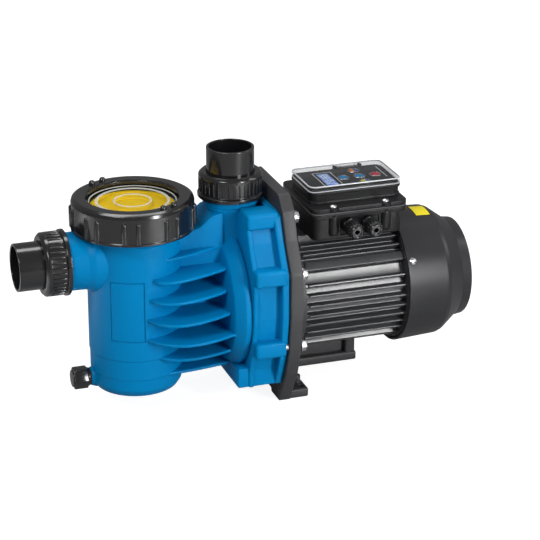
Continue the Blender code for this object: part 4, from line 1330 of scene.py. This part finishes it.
# ------------------------------------------------------------------ bracket
@dataclass(frozen=True)
class Bracket:
    """Dark grey bracket: plate, feet, motor spigot, and the bolts through it."""

    datum: Datum
    foot_inner: float = 25.0
    foot_outer: float = 50.0
    plate_edge: tuple[Point3, ...] = (
        (46, 231, 6), (60, 217, 8), (71, 188, 14), (89, 157, 14), (89, 107, 14), (84, 71, 14),
        (73, 39, 12), (50, 0, 1), (25, 0, 1), (19, 15, 5),
    )

    def feet(self) -> list[bpy.types.Object]:
        """Return the near foot, the far rail with its raised end, and the sill between them."""
        shaft = self.datum.shaft()
        inner, outer = self.foot_inner, self.foot_outer
        middle = (inner + outer) / 2
        pedestal = block("pedestal", (97, middle - 11, 4), (109, middle + 11, 75), 2.5)
        carve(pedestal, [rod("motor_clearance", 67, 50, 140, shaft, Axis.FORWARD, 96)])
        gusset = ((-2, 4), (14, 4, 3), (14, 16, 6), (4, 26, 4), (-2, 26))
        return [
            pedestal,
            block("near_foot", (-2, -outer, 0), (27, -inner, 10), 2.0),
            prism("near_gusset", gusset, -outer + 9, -inner - 2, Plane.XZ, 1.2),
            rod("near_post", 3.6, 6, 19, (20, -32, 0), Axis.UP, 32, 1.0),
            block("far_rail", (-2, inner, 0), (110, outer, 10), 2.0),
            block("rail_rib", (4, middle - 4, 4), (104, middle + 4, 26), 1.5),
            block("sill", (-4, -inner - 2, 0), (12, inner + 2, 16.5), 1.5),
        ]

    def holes(self) -> list[bpy.types.Object]:
        """Return the cutters of the bores, the foot slots and the bolt holes."""
        shaft = self.datum.shaft()
        cutters = [
            rod("seal_seat", 15.4, -12, 5, shaft, Axis.FORWARD, 48),
            rod("shaft_hole", 9.5, 0, 20, shaft, Axis.FORWARD, 48),
            rod("bearing_seat", 17.8, 11.7, 30, shaft, Axis.FORWARD, 48),
            rod("near_slot", 3.2, -5, 15, (21, -42, 0), Axis.UP, 24),
            rod("far_slot", 3.2, -5, 15, (21, 42, 0), Axis.UP, 24),
        ]
        for i, (y, z) in enumerate(BOLTS):
            for side in (-1, 1):
                at = (0, side * y, z)
                cutters.append(rod(f"plate_hole_{i}_{side}", BOLT_HOLE_R, -20, 20, at, Axis.FORWARD, 24))
        return cutters

    def build(self) -> None:
        """Build the bracket, then its bolts."""
        shaft = self.datum.shaft()
        plate = prism("bracket_plate", mirrored(self.plate_edge), -6.5, 6.5, Plane.YZ, 2.4)
        collar = ((66, 3), (66, 19.2, 0.8), (51.7, 19.2), (51.7, 26, 0.6), (47, 26), (47, 3))
        seat = ((24, 3), (24, 23.5, 0.8), (15, 23.5), (15, 3))
        pieces = [
            lathe("motor_collar", collar, shaft, Axis.FORWARD, 128, ring=True),
            lathe("bearing_boss", seat, shaft, Axis.FORWARD, 64, ring=True),
            *self.feet(),
        ]
        unite(plate, pieces)
        carve(plate, self.holes())
        dress(plate, Finishes.grey, "pump", ["bracket"])
        self.casing_bolts()

    def casing_bolts(self) -> None:
        """Build the hexagon-headed bolts with their washers."""
        low = 6.8
        number = 0
        for y, z in BOLTS:
            for side in (-1, 1):
                number += 1
                at = (0.0, side * y, z)
                shape = (
                    (0, -30), (3.6, -30, 0.5), (4, -28), (4, low), (7.4, low, 0.2), (7.4, low + 1.5, 0.3),
                    (6.0, low + 1.5), (0, low + 1.5),
                )
                bolt = lathe(f"hex_bolt_{number}", shape, at, Axis.FORWARD, 48)
                head = rod("hex", 6.4, low + 1, low + 6.0, at, Axis.FORWARD, 6, 0.5)
                crown = ((0, low + 4), (5.2, low + 4), (4.9, low + 6.4, 0.4), (0, low + 6.4))
                unite(bolt, [head, lathe("crown", crown, at, Axis.FORWARD, 32)])
                dress(bolt, Finishes.steel, "pump", [f"casing_bolt_{number}"])


# ------------------------------------------------------------------ motor
@dataclass(frozen=True)
class Motor:
    """Finned motor housing with two wide bars on each side and a pad for the terminal box."""

    datum: Datum
    front: float = 19.5
    back: float = 131.6
    fin_r: float = 65.5
    root_r: float = 58.0
    bore_r: float = 52.0
    fin_half: float = 1.25
    bar_half: float = 4.6
    bars: Point2 = (-55.0, 38.0)

    def outline(self) -> list[tuple[float, ...]]:
        """Return the housing's cross-section: rounded fins, bars and the top pad."""
        centre = (0.0, self.datum.shaft_z)
        fins = [(a, self.fin_half, self.fin_r) for a in range(-80, 61, 10)]
        fins = [f for f in fins if all(abs(f[0] - bar) >= 9 for bar in self.bars)]
        fins += [(bar, self.bar_half, self.fin_r + 0.3) for bar in self.bars]
        loop: list[tuple[float, ...]] = []
        for degrees, half, reach in sorted(fins):
            foot = math.degrees((half + 0.5) / self.root_r)
            tip = math.degrees(half / reach)
            loop += [
                (*polar(self.root_r, degrees - foot, centre), 1.2),
                (*polar(reach, degrees - tip, centre), 0.9),
                (*polar(reach, degrees + tip, centre), 0.9),
                (*polar(self.root_r, degrees + foot, centre), 1.2),
            ]
        loop += [(26.0, centre[1] + 51.5, 2.0), (26.0, 174.9, 1.0)]
        return loop + [(-p[0], *p[1:]) for p in reversed(loop)]

    def build(self) -> None:
        """Build and dress the housing."""
        shaft = self.datum.shaft()
        housing = prism("finned_housing", self.outline(), self.front, self.back, Plane.YZ, steps=3)
        bore = rod("motor_bore", self.bore_r, self.front - 5, self.back + 5, shaft, Axis.FORWARD, 128)
        front_step = (
            (63.2, self.front - 2), (80, self.front - 2), (80, self.front + 3.2), (63.2, self.front + 3.2),
        )
        carve(housing, [bore, lathe("front_step", front_step, shaft, Axis.FORWARD, 128, ring=True)])
        dress(housing, Finishes.motor, "pump", ["motor_housing"])


@dataclass(frozen=True)
class FanEnd:
    """Fan cover with its grille, its cross-slotted screws and a plain label."""

    datum: Datum
    cover_r: float = 72.6
    screw_x: float = 138.0
    screw_angles: tuple[float, ...] = (150.0, 30.0, 270.0)
    grille: tuple[tuple[int, float, float], ...] = ((12, 17.0, 29.5), (24, 33.0, 46.5))
    slot_half: float = 2.0
    label_x: Point2 = (159.0, 176.6)
    label_start: float = 174.6
    label_sweep: float = 20.0
    label_r: Point2 = (71.28, 70.40)
    label_slope: float = 0.05

    def outwards(self, degrees: float) -> Matrix:
        """Return the rotation that points local +Z outwards, at an angle from +Y."""
        return Matrix.Rotation(math.radians(degrees - 90), 4, "X")

    def cover(self) -> None:
        """Build the cover's shell and cut its grille."""
        shaft = self.datum.shaft()
        r = self.cover_r
        profile = (
            (0, 207.2), (12, 207.2, 1), (14, 206, 1), (49.2, 206, 1.5), (50.4, 211.6, 0.8),
            (53.1, 211.8, 1.2), (54.6, 200.6, 2.5), (57.2, 197.2, 2.5), (68.8, 181.6, 3.0),
            (70.3, 177.5, 3.0), (r, 134.2, 1.0),
            (r, 132.2, 0.6), (r - 2.5, 132.2), (r - 2.5, 140), (67.6, 178.0, 2), (53, 197.0, 2),
            (51, 203.2, 1), (0, 203.2),
        )
        cover = lathe("fan_cowl", profile, shaft, Axis.FORWARD, 144)
        slots = []
        low, high = self.datum.shaft_z - self.slot_half, self.datum.shaft_z + self.slot_half
        for count, inner, outer in self.grille:
            slot = block("grille_slot", (198, inner, low), (215, outer, high), 1.8, 3)
            slots += copies(slot, around(count, shaft, "X", 7.5))
        carve(cover, [merge("grille_slots", slots)])
        for degrees in self.screw_angles:
            at = (self.screw_x, 0.0, self.datum.shaft_z)
            hole = rod("screw_hole", 2.1, 64.5, 80, (0, 0, 0), Axis.UP, 24)
            carve(cover, [settle(hole, self.outwards(degrees), at)])
        dress(cover, Finishes.cowl, "pump", ["fan_cover"])

    def screws(self) -> None:
        """Build the domed screws with a cross slot."""
        for number, degrees in enumerate(self.screw_angles, 1):
            shape = (
                (0, 65.5), (1.8, 65.5, 0.4), (1.8, 72.7), (4.0, 72.7, 0.3), (3.8, 73.6, 0.9),
                (1.8, 74.6, 1.5), (0, 74.6),
            )
            screw = lathe(f"cowl_screw_{number}", shape, (0, 0, 0), Axis.UP, 48)
            for turn in (0.0, 90.0):
                slot = block("cross_slot", (-2.1, -0.4, 73.7), (2.1, 0.4, 76))
                slot.data.transform(Matrix.Rotation(math.radians(turn + 20), 4, "Z"))
                carve(screw, [slot])
            settle(screw, self.outwards(degrees), (self.screw_x, 0.0, self.datum.shaft_z))
            dress(screw, Finishes.steel, "pump", [f"fan_cover_screw_{number}"])

    def label(self) -> None:
        """Build the plain yellow label and its dark border on the cover's shoulder."""
        shaft = self.datum.shaft()
        layers = (
            ("label_border", Finishes.print_black, 0.0, 0.22), ("label_face", Finishes.label, 0.8, 0.32),
        )
        for name, finish, edge, rise in layers:
            low, high = self.label_x[0] + edge, self.label_x[1] - edge
            base = self.label_r[0] - edge * self.label_slope
            ends = self.label_r[1] + edge * self.label_slope
            shape = ((base - 0.1, low), (base + rise, low), (ends + rise, high), (ends - 0.1, high))
            arc = (self.label_start + edge * 0.8, self.label_sweep - edge * 1.6)
            patch = lathe(name, shape, shaft, Axis.FORWARD, 144, ring=True, arc=arc)
            dress(patch, finish, "pump")

    def build(self) -> None:
        """Build the cover, its screws and its label."""
        self.cover()
        self.screws()
        self.label()


# ------------------------------------------------------------------ terminal box and controller
@dataclass(frozen=True)
class TerminalBox:
    """Box on the motor with screw columns, a recessed side panel, screws and cable glands."""

    body_x: Point2 = (31.5, 131.0)
    body_y: float = 48.5
    rim_x: Point2 = (30.0, 137.0)
    rim_y: float = 50.0
    bottom: float = 175.2
    top: float = 203.5
    glands: tuple[tuple[str, float], ...] = (("left", 71.0), ("right", 92.0))
    gland_z: float = 189.5
    gland_hole_r: float = 6.4
    cap_ribs: int = 16
    screw_low: float = 210.3

    def box(self) -> None:
        """Build the open box."""
        shell = prism("wiring_box", box_outline(self.body_x, self.body_y, 9), self.bottom, 199, Plane.XY, 1.2)
        rim = prism("box_rim", box_outline(self.rim_x, self.rim_y, 9.5), 198.2, self.top, Plane.XY, 0.9)
        columns = []
        for x, y in BOX_SCREWS:
            spot = (x, y + math.copysign(0.5, y), 0.0)
            columns.append(rod("column", 6.0, 179, self.top - 1, spot, Axis.UP, 40, 3.5))
        unite(shell, [rim, *columns])
        inner = (self.body_x[0] + 3.5, self.body_x[1] - 3.5)
        cutters = [
            prism("box_hollow", box_outline(inner, self.rim_y - 13.5, 5), self.bottom + 3, self.top + 5),
            prism("gland_bay", box_outline((62, 101), self.body_y - 3.5, 3), self.bottom + 5, self.top - 4),
        ]
        for side in (-1, 1):
            ends = sorted((side * (self.body_y - 1.4), side * (self.body_y + 5)))
            cutters.append(block("side_recess", (61.5, ends[0], 179), (104.5, ends[1], 197.4), 1.2))
        cutters += [rod("column_hole", BOX_HOLE_R, 186, 215, (x, y, 0), Axis.UP, 24) for x, y in BOX_SCREWS]
        for _, x in self.glands:
            cutters.append(rod("gland_hole", self.gland_hole_r, 38, 60, (x, 0, self.gland_z), Axis.NEAR, 32))
        carve(shell, cutters)
        dress(shell, Finishes.box_grey, "pump", ["terminal_box"])

    def lid_screws(self) -> None:
        """Build the domed lid screws with a cross slot."""
        low = self.screw_low
        for number, (x, y) in enumerate(BOX_SCREWS, 1):
            shape = (
                (0, 187), (1.9, 187, 0.5), (1.9, low), (4.2, low, 0.3), (4.0, low + 1.4, 1.0),
                (1.8, low + 2.6, 1.6), (0, low + 2.6),
            )
            screw = lathe(f"lid_screw_{number}", shape, (x, y, 0), Axis.UP, 48)
            slots = [
                block("slot_a", (x - 2.2, y - 0.45, low + 1.4), (x + 2.2, y + 0.45, low + 4)),
                block("slot_b", (x - 0.45, y - 2.2, low + 1.4), (x + 0.45, y + 2.2, low + 4)),
            ]
            carve(screw, slots)
            dress(screw, Finishes.steel, "pump", [f"box_screw_{number}"])

    def gland(self, side: str, x: float) -> None:
        """Build one cable gland.

        Args:
            side: its name's ending.
            x: its place along the shaft.
        """
        at = (x, 0.0, self.gland_z)
        sleeve = ((6.0, 40, 0.4), (6.0, 62, 0.5), (3.4, 62), (3.4, 40))
        body = lathe(f"gland_foot_{side}", sleeve, at, Axis.NEAR, 48, ring=True)
        hexagon = rod("gland_hexagon", 9.2, self.body_y - 1.0, 55, at, Axis.NEAR, 6, 0.8)
        carve(hexagon, [rod("gland_bore", 5.0, 30, 70, at, Axis.NEAR, 32)])
        unite(body, [hexagon])
        dress(body, Finishes.gloss, "pump", [f"gland_body_{side}"])
        dome = (
            (2.4, 73.2, 0.4), (4.6, 73.2), (4.6, 74.5, 0.4), (5.8, 74.5, 1.0), (7.4, 72.4, 1.8),
            (8.0, 69.5, 1.5), (8.0, 56.4, 0.6), (8.4, 55.8, 0.3), (8.4, 55.4), (6.4, 55.4),
            (6.4, 62.4), (2.4, 64.0),
        )
        nut = lathe(f"gland_cap_{side}", dome, at, Axis.NEAR, 64, ring=True)
        rib = block(
            "cap_rib", (x + 7.2, -70.5, self.gland_z - 0.8), (x + 8.6, -56.0, self.gland_z + 0.8), 0.6, 2,
        )
        ribs = copies(rib, around(self.cap_ribs, at, "Y"))
        unite(nut, [merge("cap_ribs", ribs)])
        dress(nut, Finishes.gloss, "pump", [f"gland_nut_{side}"])

    def build(self) -> None:
        """Build the box, its screws and its glands."""
        self.box()
        self.lid_screws()
        for side, x in self.glands:
            self.gland(side, x)


@dataclass(frozen=True)
class Controller:
    """Keypad controller on the terminal box, under a hinged clear cover."""

    plate_x: Point2 = (30.0, 137.0)
    plate_y: float = 50.0
    head_x: Point2 = (35.0, 135.0)
    head_y: float = 31.0
    low: float = 205.1
    high: float = 210.0
    top: float = 222.0
    keypad_low: float = 222.3
    keypad_high: float = 224.2
    hinge_y: float = 36.8
    hinge_z: float = 222.4
    window_x: Point2 = (58.5, 71.5)
    button_r: float = 5.0
    ears: Point2 = (84.4, 113.0)
    ear_width: float = 3.6
    arms: Point2 = (88.4, 108.4)
    arm_width: float = 4.2
    pin_hole_r: float = 1.7
    hood_top: float = 228.8
    hood_wall: float = 1.8

    def housing(self) -> None:
        """Build the hollow housing with its lip, screw pads and hinge ears."""
        shell = prism(
            "controller_shell", box_outline(self.plate_x, self.plate_y, 9.5), self.low, self.high, Plane.XY,
            0.9,
        )
        x0, x1 = self.head_x
        parts = [
            prism("head", box_outline(self.head_x, self.head_y, 8), self.low + 2, self.top - 0.5, Plane.XY),
            prism(
                "lip", box_outline((x0 - 1.5, x1 + 1.5), self.head_y + 1.5, 9), 219, self.top, Plane.XY, 0.5,
            ),
            prism(
                "skirt", box_outline((x0 - 1.2, x1 + 1.2), self.head_y + 1.2, 9), self.high - 1,
                self.high + 2.2, Plane.XY, 1.0,
            ),
        ]
        for x, y in BOX_SCREWS:
            parts.append(rod("screw_pad", 6.5, self.low + 1, self.high + 0.01, (x, y, 0), Axis.UP, 40))
        for x in self.ears:
            foot = (x, 30, 218), (x + self.ear_width, self.hinge_y + 2.6, self.top - 0.6)
            ear = (x, self.hinge_y - 2.6, 220), (x + self.ear_width, self.hinge_y + 2.6, self.hinge_z + 2.4)
            parts += [block("ear_foot", *foot, 0.6, 2), block("ear", *ear, 0.9, 3)]
        unite(shell, parts)
        hollow = prism(
            "head_hollow", box_outline((x0 + 3, x1 - 3), self.head_y - 3, 6), self.low - 3, self.top + 5,
        )
        cutters = [hollow]
        cutters += [rod("pad_hole", BOX_HOLE_R, 200, 215, (x, y, 0), Axis.UP, 24) for x, y in BOX_SCREWS]
        cutters.append(
            rod("ear_bore", self.pin_hole_r, 80, 120, (0, self.hinge_y, self.hinge_z), Axis.FORWARD, 24),
        )
        carve(shell, cutters)
        dress(shell, Finishes.box_grey, "pump", ["controller_housing"])

    def buttons(self) -> tuple[tuple[str, Point2, Skin | TwoTone, str], ...]:
        """Return each button's name, place, finish and slot."""
        orange = TwoTone("orange_blue_cap", (0.75, 0.20, 0.02), (0.02, 0.13, 0.42), 100.5)
        yellow = TwoTone("yellow_blue_cap", (0.78, 0.66, 0.02), (0.05, 0.2, 0.5), 100.5)
        return (
            ("button_left", (82.5, 0.0), Finishes.blue, "button_blue"),
            ("button_top", (100.5, 18.0), orange, "button_orange"),
            ("button_middle", (100.5, 0.0), Finishes.blue, "button_blue"),
            ("button_right", (118.5, 0.0), Finishes.red, "button_red"),
            ("button_bottom", (100.5, -18.0), yellow, "button_yellow"),
        )

    def keypad(self) -> None:
        """Build the keypad film, its printed lines and the rings around its buttons."""
        x0, x1 = self.head_x
        face = prism(
            "keypad_face", box_outline((x0 + 0.6, x1 - 0.6), self.head_y - 0.6, 7.5), self.keypad_low,
            self.keypad_high, Plane.XY, 0.3,
        )
        cutters = [block("window_hole", (self.window_x[0], -19, 215), (self.window_x[1], 19, 230))]
        for _, (x, y), _, _ in self.buttons():
            cutters.append(rod("button_hole", self.button_r + 0.3, 215, 230, (x, y, 0), Axis.UP, 48))
        carve(face, cutters)
        dress(face, Finishes.keypad, "pump", ["keypad_panel"])
        z = self.keypad_high
        lines = [
            block("line_right", (127.4, -11, z), (128.4, 23, z + 0.12)),
            block("frame_left", (54.6, -22, z), (55.6, 22, z + 0.12)),
            block("frame_near", (55.6, -22, z), (74.6, -21, z + 0.12)),
            block("frame_far", (55.6, 21, z), (74.6, 22, z + 0.12)),
            block("frame_right", (74.6, -22, z), (75.4, 22, z + 0.12)),
        ]
        dress(merge("keypad_lines", lines), Finishes.print_white, "pump")
        rings = []
        for name, (x, y), _, _ in self.buttons():
            r = self.button_r
            band = (
                (r + 0.35, z - 0.3), (r + 0.35, z + 0.45, 0.3), (r + 1.5, z + 0.45, 0.3), (r + 1.7, z),
                (r + 1.5, z - 0.3),
            )
            rings.append(lathe(f"ring_{name}", band, (x, y, 0), Axis.UP, 48, ring=True))
        dress(merge("button_rings", rings), Finishes.silver, "pump")

    def window(self) -> None:
        """Build the lit window with its generic bars."""
        x0, x1 = self.window_x
        glass = block(
            "display_glass", (x0 + 0.3, -18.7, self.keypad_low - 1), (x1 - 0.3, 18.7, self.keypad_high - 0.2),
            0.3, 2,
        )
        dress(glass, Display("lit_display"), "pump", ["display_window"])
        bars = []
        z = self.keypad_high - 0.2
        for row, x in enumerate((60.6, 64.0, 67.4)):
            for col in range(9):
                if (row * 5 + col * 3) % 4 == 0:
                    continue
                y = -15.6 + col * 3.6
                bars.append(block("bar", (x, y, z), (x + 1.7, y + 2.5, z + 0.06)))
        dress(merge("display_bars", bars), Finishes.print_white, "pump")

    def caps(self) -> None:
        """Build the five domed buttons."""
        r, low, high = self.button_r, self.keypad_low, self.keypad_high
        for name, (x, y), finish, slot in self.buttons():
            shape = (
                (0, high + 1.0), (r - 1.2, high + 1.0, 1.5), (r, high + 0.5, 0.6), (r, low - 0.4),
                (r + 1.2, low - 0.4, 0.3), (r + 1.2, 219.4, 0.3), (2, 219.4), (2, 215, 0.4), (0, 215),
            )
            cap = lathe(f"cap_{name}", shape, (x, y, 0), Axis.UP, 48)
            dress(cap, finish, name, [name])

    def cover(self) -> None:
        """Build the clear cover with its hinge arms, and the pale bands on its rim and foot that paint the
        highlight its clear edges catch.
        """
        x0, x1 = self.head_x[0] - 1.5, self.head_x[1] + 1.5
        y = self.head_y + 1.5
        low, high = self.top + 0.4, self.hood_top
        lid = prism("clear_hood", box_outline((x0, x1), y, 9), low, high, Plane.XY, 1.0)
        hinge = (0, self.hinge_y, self.hinge_z)
        arms = []
        for x in self.arms:
            end = (x + self.arm_width, self.hinge_y + 1, self.hinge_z + 4.6)
            arms.append(block("arm", (x, self.head_y - 0.5, self.hinge_z + 0.6), end, 0.8, 2))
            arms.append(rod("knuckle", 2.7, x, x + self.arm_width, hinge, Axis.FORWARD, 32, 0.3))
        unite(lid, arms)
        wall = self.hood_wall
        hollow = prism("hood_hollow", box_outline((x0 + wall, x1 - wall), y - wall, 7.5), low - 3, high - 1.4)
        bore = rod("knuckle_bore", self.pin_hole_r, 80, 120, hinge, Axis.FORWARD, 24)
        carve(lid, [hollow, bore])
        dress(lid, Finishes.hood, "display_cover", ["display_cover"])
        band = prism(
            "hood_rim", box_outline((x0 + 0.05, x1 - 0.05), y - 0.05, 9), high - 1.3, high - 0.05, Plane.XY,
            0.5,
        )
        inside = box_outline((x0 + 1.5, x1 - 1.5), y - 1.5, 7.6)
        carve(band, [prism("rim_inside", inside, high - 4, high + 2)])
        foot = prism(
            "hood_foot", box_outline((x0 + 0.1, x1 - 0.1), y - 0.1, 9), low + 0.02, low + 0.7, Plane.XY, 0.2,
        )
        inside = box_outline((x0 + 1.7, x1 - 1.7), y - 1.7, 7.5)
        carve(foot, [prism("foot_inside", inside, low - 4, low + 4)])
        # The bands' pale colour is a painted highlight for the light the clear edges catch.
        dress(merge("hood_bright_edges", [band, foot]), Finishes.edge_highlight_paint, "display_cover")

    def build(self) -> None:
        """Build the controller."""
        self.housing()
        self.keypad()
        self.window()
        self.caps()
        self.cover()


# ------------------------------------------------------------------ carried-over pieces
@dataclass(frozen=True)
class Inside:
    """Finishes of the frame's own nodes that keep their shape."""

    nodes: dict[str, bpy.types.Object]

    def paint(self) -> None:
        """Give each kept node its finish."""
        finishes: dict[str, Skin | Metal | Clear] = {
            "lid_seal": Finishes.rubber, "suction_seal": Finishes.rubber, "discharge_seal": Finishes.rubber,
            "drain_seal": Finishes.rubber, "casing_seal": Finishes.rubber, "box_gasket": Finishes.gasket,
            "diffuser": Finishes.grey, "impeller": Finishes.grey, "seal_rotating": Finishes.ceramic,
            "seal_stationary": Finishes.ceramic, "shaft": Finishes.steel, "stator_core": Finishes.iron,
            "stator_windings": Finishes.copper, "rotor_core": Finishes.iron, "front_bearing": Finishes.steel,
            "rear_bearing": Finishes.steel, "rear_end_shield": Finishes.motor, "fan": Finishes.satin,
            "hinge_pin": Finishes.steel, "circuit_board": Finishes.board,
        }
        for name, finish in finishes.items():
            node = self.nodes[name]
            for slot in node.material_slots:
                slot.material = finish.material()
            LOG.info("%s keeps its shape", name)


# ------------------------------------------------------------------ studio
@dataclass(frozen=True)
class Studio:
    """Pale floor, soft lights and the camera."""

    camera_at: Point3 = (-702.9, -2054.9, 989.5)
    target: Point3 = (0.6, 0.0, 129.6)
    lens: float = 146.67
    sensor: float = 36.0
    floor_size: float = 16.0
    floor_shade: float = 0.36
    floor_lift: Point2 = (0.05, 0.90)
    surroundings: float = 0.24
    lights: tuple[tuple[str, Point3, Point2, float], ...] = (
        ("key", (-1300, -1100, 1700), (700, 700), 19),
        ("front", (900, -2000, 700), (350, 1200), 34),
        ("right", (1600, -300, 1100), (300, 1200), 6),
        ("top", (0, 500, 1900), (1500, 500), 12),
    )
    pools: tuple[tuple[str, Point2, float], ...] = (
        ("pool_left", (-600, 150), 260),
        ("pool_right", (150, -480), 160),
    )
    pool_height: float = 900.0
    pool_angle: float = 34.0

    def floor(self) -> None:
        """Lay the floor."""
        bpy.ops.object.select_all(action="DESELECT")
        bpy.ops.mesh.primitive_plane_add(size=self.floor_size, location=(0.0, 0.0, -0.0002))
        floor = bpy.context.active_object
        floor.name = "studio_floor"
        paper, shader = new_material("pale_paper")
        nodes, links = paper.node_tree.nodes, paper.node_tree.links
        place = nodes.new("ShaderNodeTexCoord")
        fibres = nodes.new("ShaderNodeTexNoise")
        fibres.inputs["Scale"].default_value = 3.0
        tone = nodes.new("ShaderNodeMapRange")
        tone.inputs["To Min"].default_value = 0.55
        tone.inputs["To Max"].default_value = 0.65
        links.new(place.outputs["Object"], fibres.inputs["Vector"])
        links.new(fibres.outputs["Fac"], tone.inputs["Value"])
        links.new(tone.outputs["Result"], shader.inputs["Roughness"])
        shader.inputs["Base Color"].default_value = (*[self.floor_shade] * 3, 1.0)
        shader.inputs["Emission Color"].default_value = (1.0, 1.0, 1.0, 1.0)
        seen = nodes.new("ShaderNodeLightPath")
        lift = nodes.new("ShaderNodeMapRange")
        lift.inputs["To Min"].default_value = self.floor_lift[0]
        lift.inputs["To Max"].default_value = self.floor_lift[1]
        links.new(seen.outputs["Is Camera Ray"], lift.inputs["Value"])
        links.new(lift.outputs["Result"], shader.inputs["Emission Strength"])
        shader.inputs["Specular IOR Level"].default_value = 0.1
        floor.data.materials.append(paper)

    def light(self, name: str, at: Point3, size: Point2, power: float) -> None:
        """Add a soft rectangular light that faces the pump.

        Args:
            name: its name.
            at: its place, in millimetres.
            size: its width and height, in millimetres.
            power: its power in watts.
        """
        lamp = bpy.data.lights.new(name, "AREA")
        lamp.shape = "RECTANGLE"
        lamp.size, lamp.size_y = size[0] * MM, size[1] * MM
        lamp.energy = power
        made = bpy.data.objects.new(name, lamp)
        bpy.context.scene.collection.objects.link(made)
        made.location = Vector(at) * MM
        aim = Vector(self.target) - Vector(at)
        made.rotation_euler = aim.to_track_quat("-Z", "Y").to_euler()

    def pool(self, name: str, at: Point2, power: float) -> None:
        """Light a patch of the floor from above, which the gloss black then mirrors.

        Args:
            name: its name.
            at: the patch's middle, in millimetres.
            power: its power in watts.
        """
        lamp = bpy.data.lights.new(name, "SPOT")
        lamp.energy = power
        lamp.spot_size = math.radians(self.pool_angle)
        lamp.spot_blend = 0.8
        lamp.shadow_soft_size = 0.08
        made = bpy.data.objects.new(name, lamp)
        bpy.context.scene.collection.objects.link(made)
        made.location = Vector((*at, self.pool_height)) * MM

    def world(self) -> None:
        """Set the even studio surroundings."""
        world = bpy.data.worlds.new("studio")
        world.use_nodes = True
        back = world.node_tree.nodes["Background"]
        back.inputs["Color"].default_value = (1.0, 1.0, 1.0, 1.0)
        back.inputs["Strength"].default_value = self.surroundings
        bpy.context.scene.world = world

    def camera(self) -> None:
        """Place the camera."""
        made = bpy.data.cameras.new("camera")
        made.lens = self.lens
        made.sensor_width = self.sensor
        made.clip_start = 0.01
        eye = bpy.data.objects.new("camera", made)
        bpy.context.scene.collection.objects.link(eye)
        eye.location = Vector(self.camera_at) * MM
        aim = Vector(self.target) - Vector(self.camera_at)
        eye.rotation_euler = aim.to_track_quat("-Z", "Y").to_euler()
        bpy.context.scene.camera = eye

    def build(self) -> None:
        """Set up the studio."""
        self.floor()
        self.world()
        for name, at, size, power in self.lights:
            self.light(name, at, size, power)
        for name, spot, power in self.pools:
            self.pool(name, spot, power)
        self.camera()
        bpy.context.scene.view_settings.view_transform = "Standard"


def main() -> None:
    """Build the whole pump around its frame."""
    logging.basicConfig(level=logging.INFO, format="%(name)s: %(message)s")
    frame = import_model()
    datum = Datum.from_frame()
    Casing(datum).build()
    Strainer(datum).build()
    Union("suction", datum.suction(), Axis.BACK).build()
    Union("discharge", datum.outlet(), Axis.UP).build()
    Drain(datum).build()
    Bracket(datum).build()
    Motor(datum).build()
    FanEnd(datum).build()
    TerminalBox().build()
    Controller().build()
    Inside(frame["nodes"]).paint()
    Studio().build()


if __name__ == "__main__":
    main()
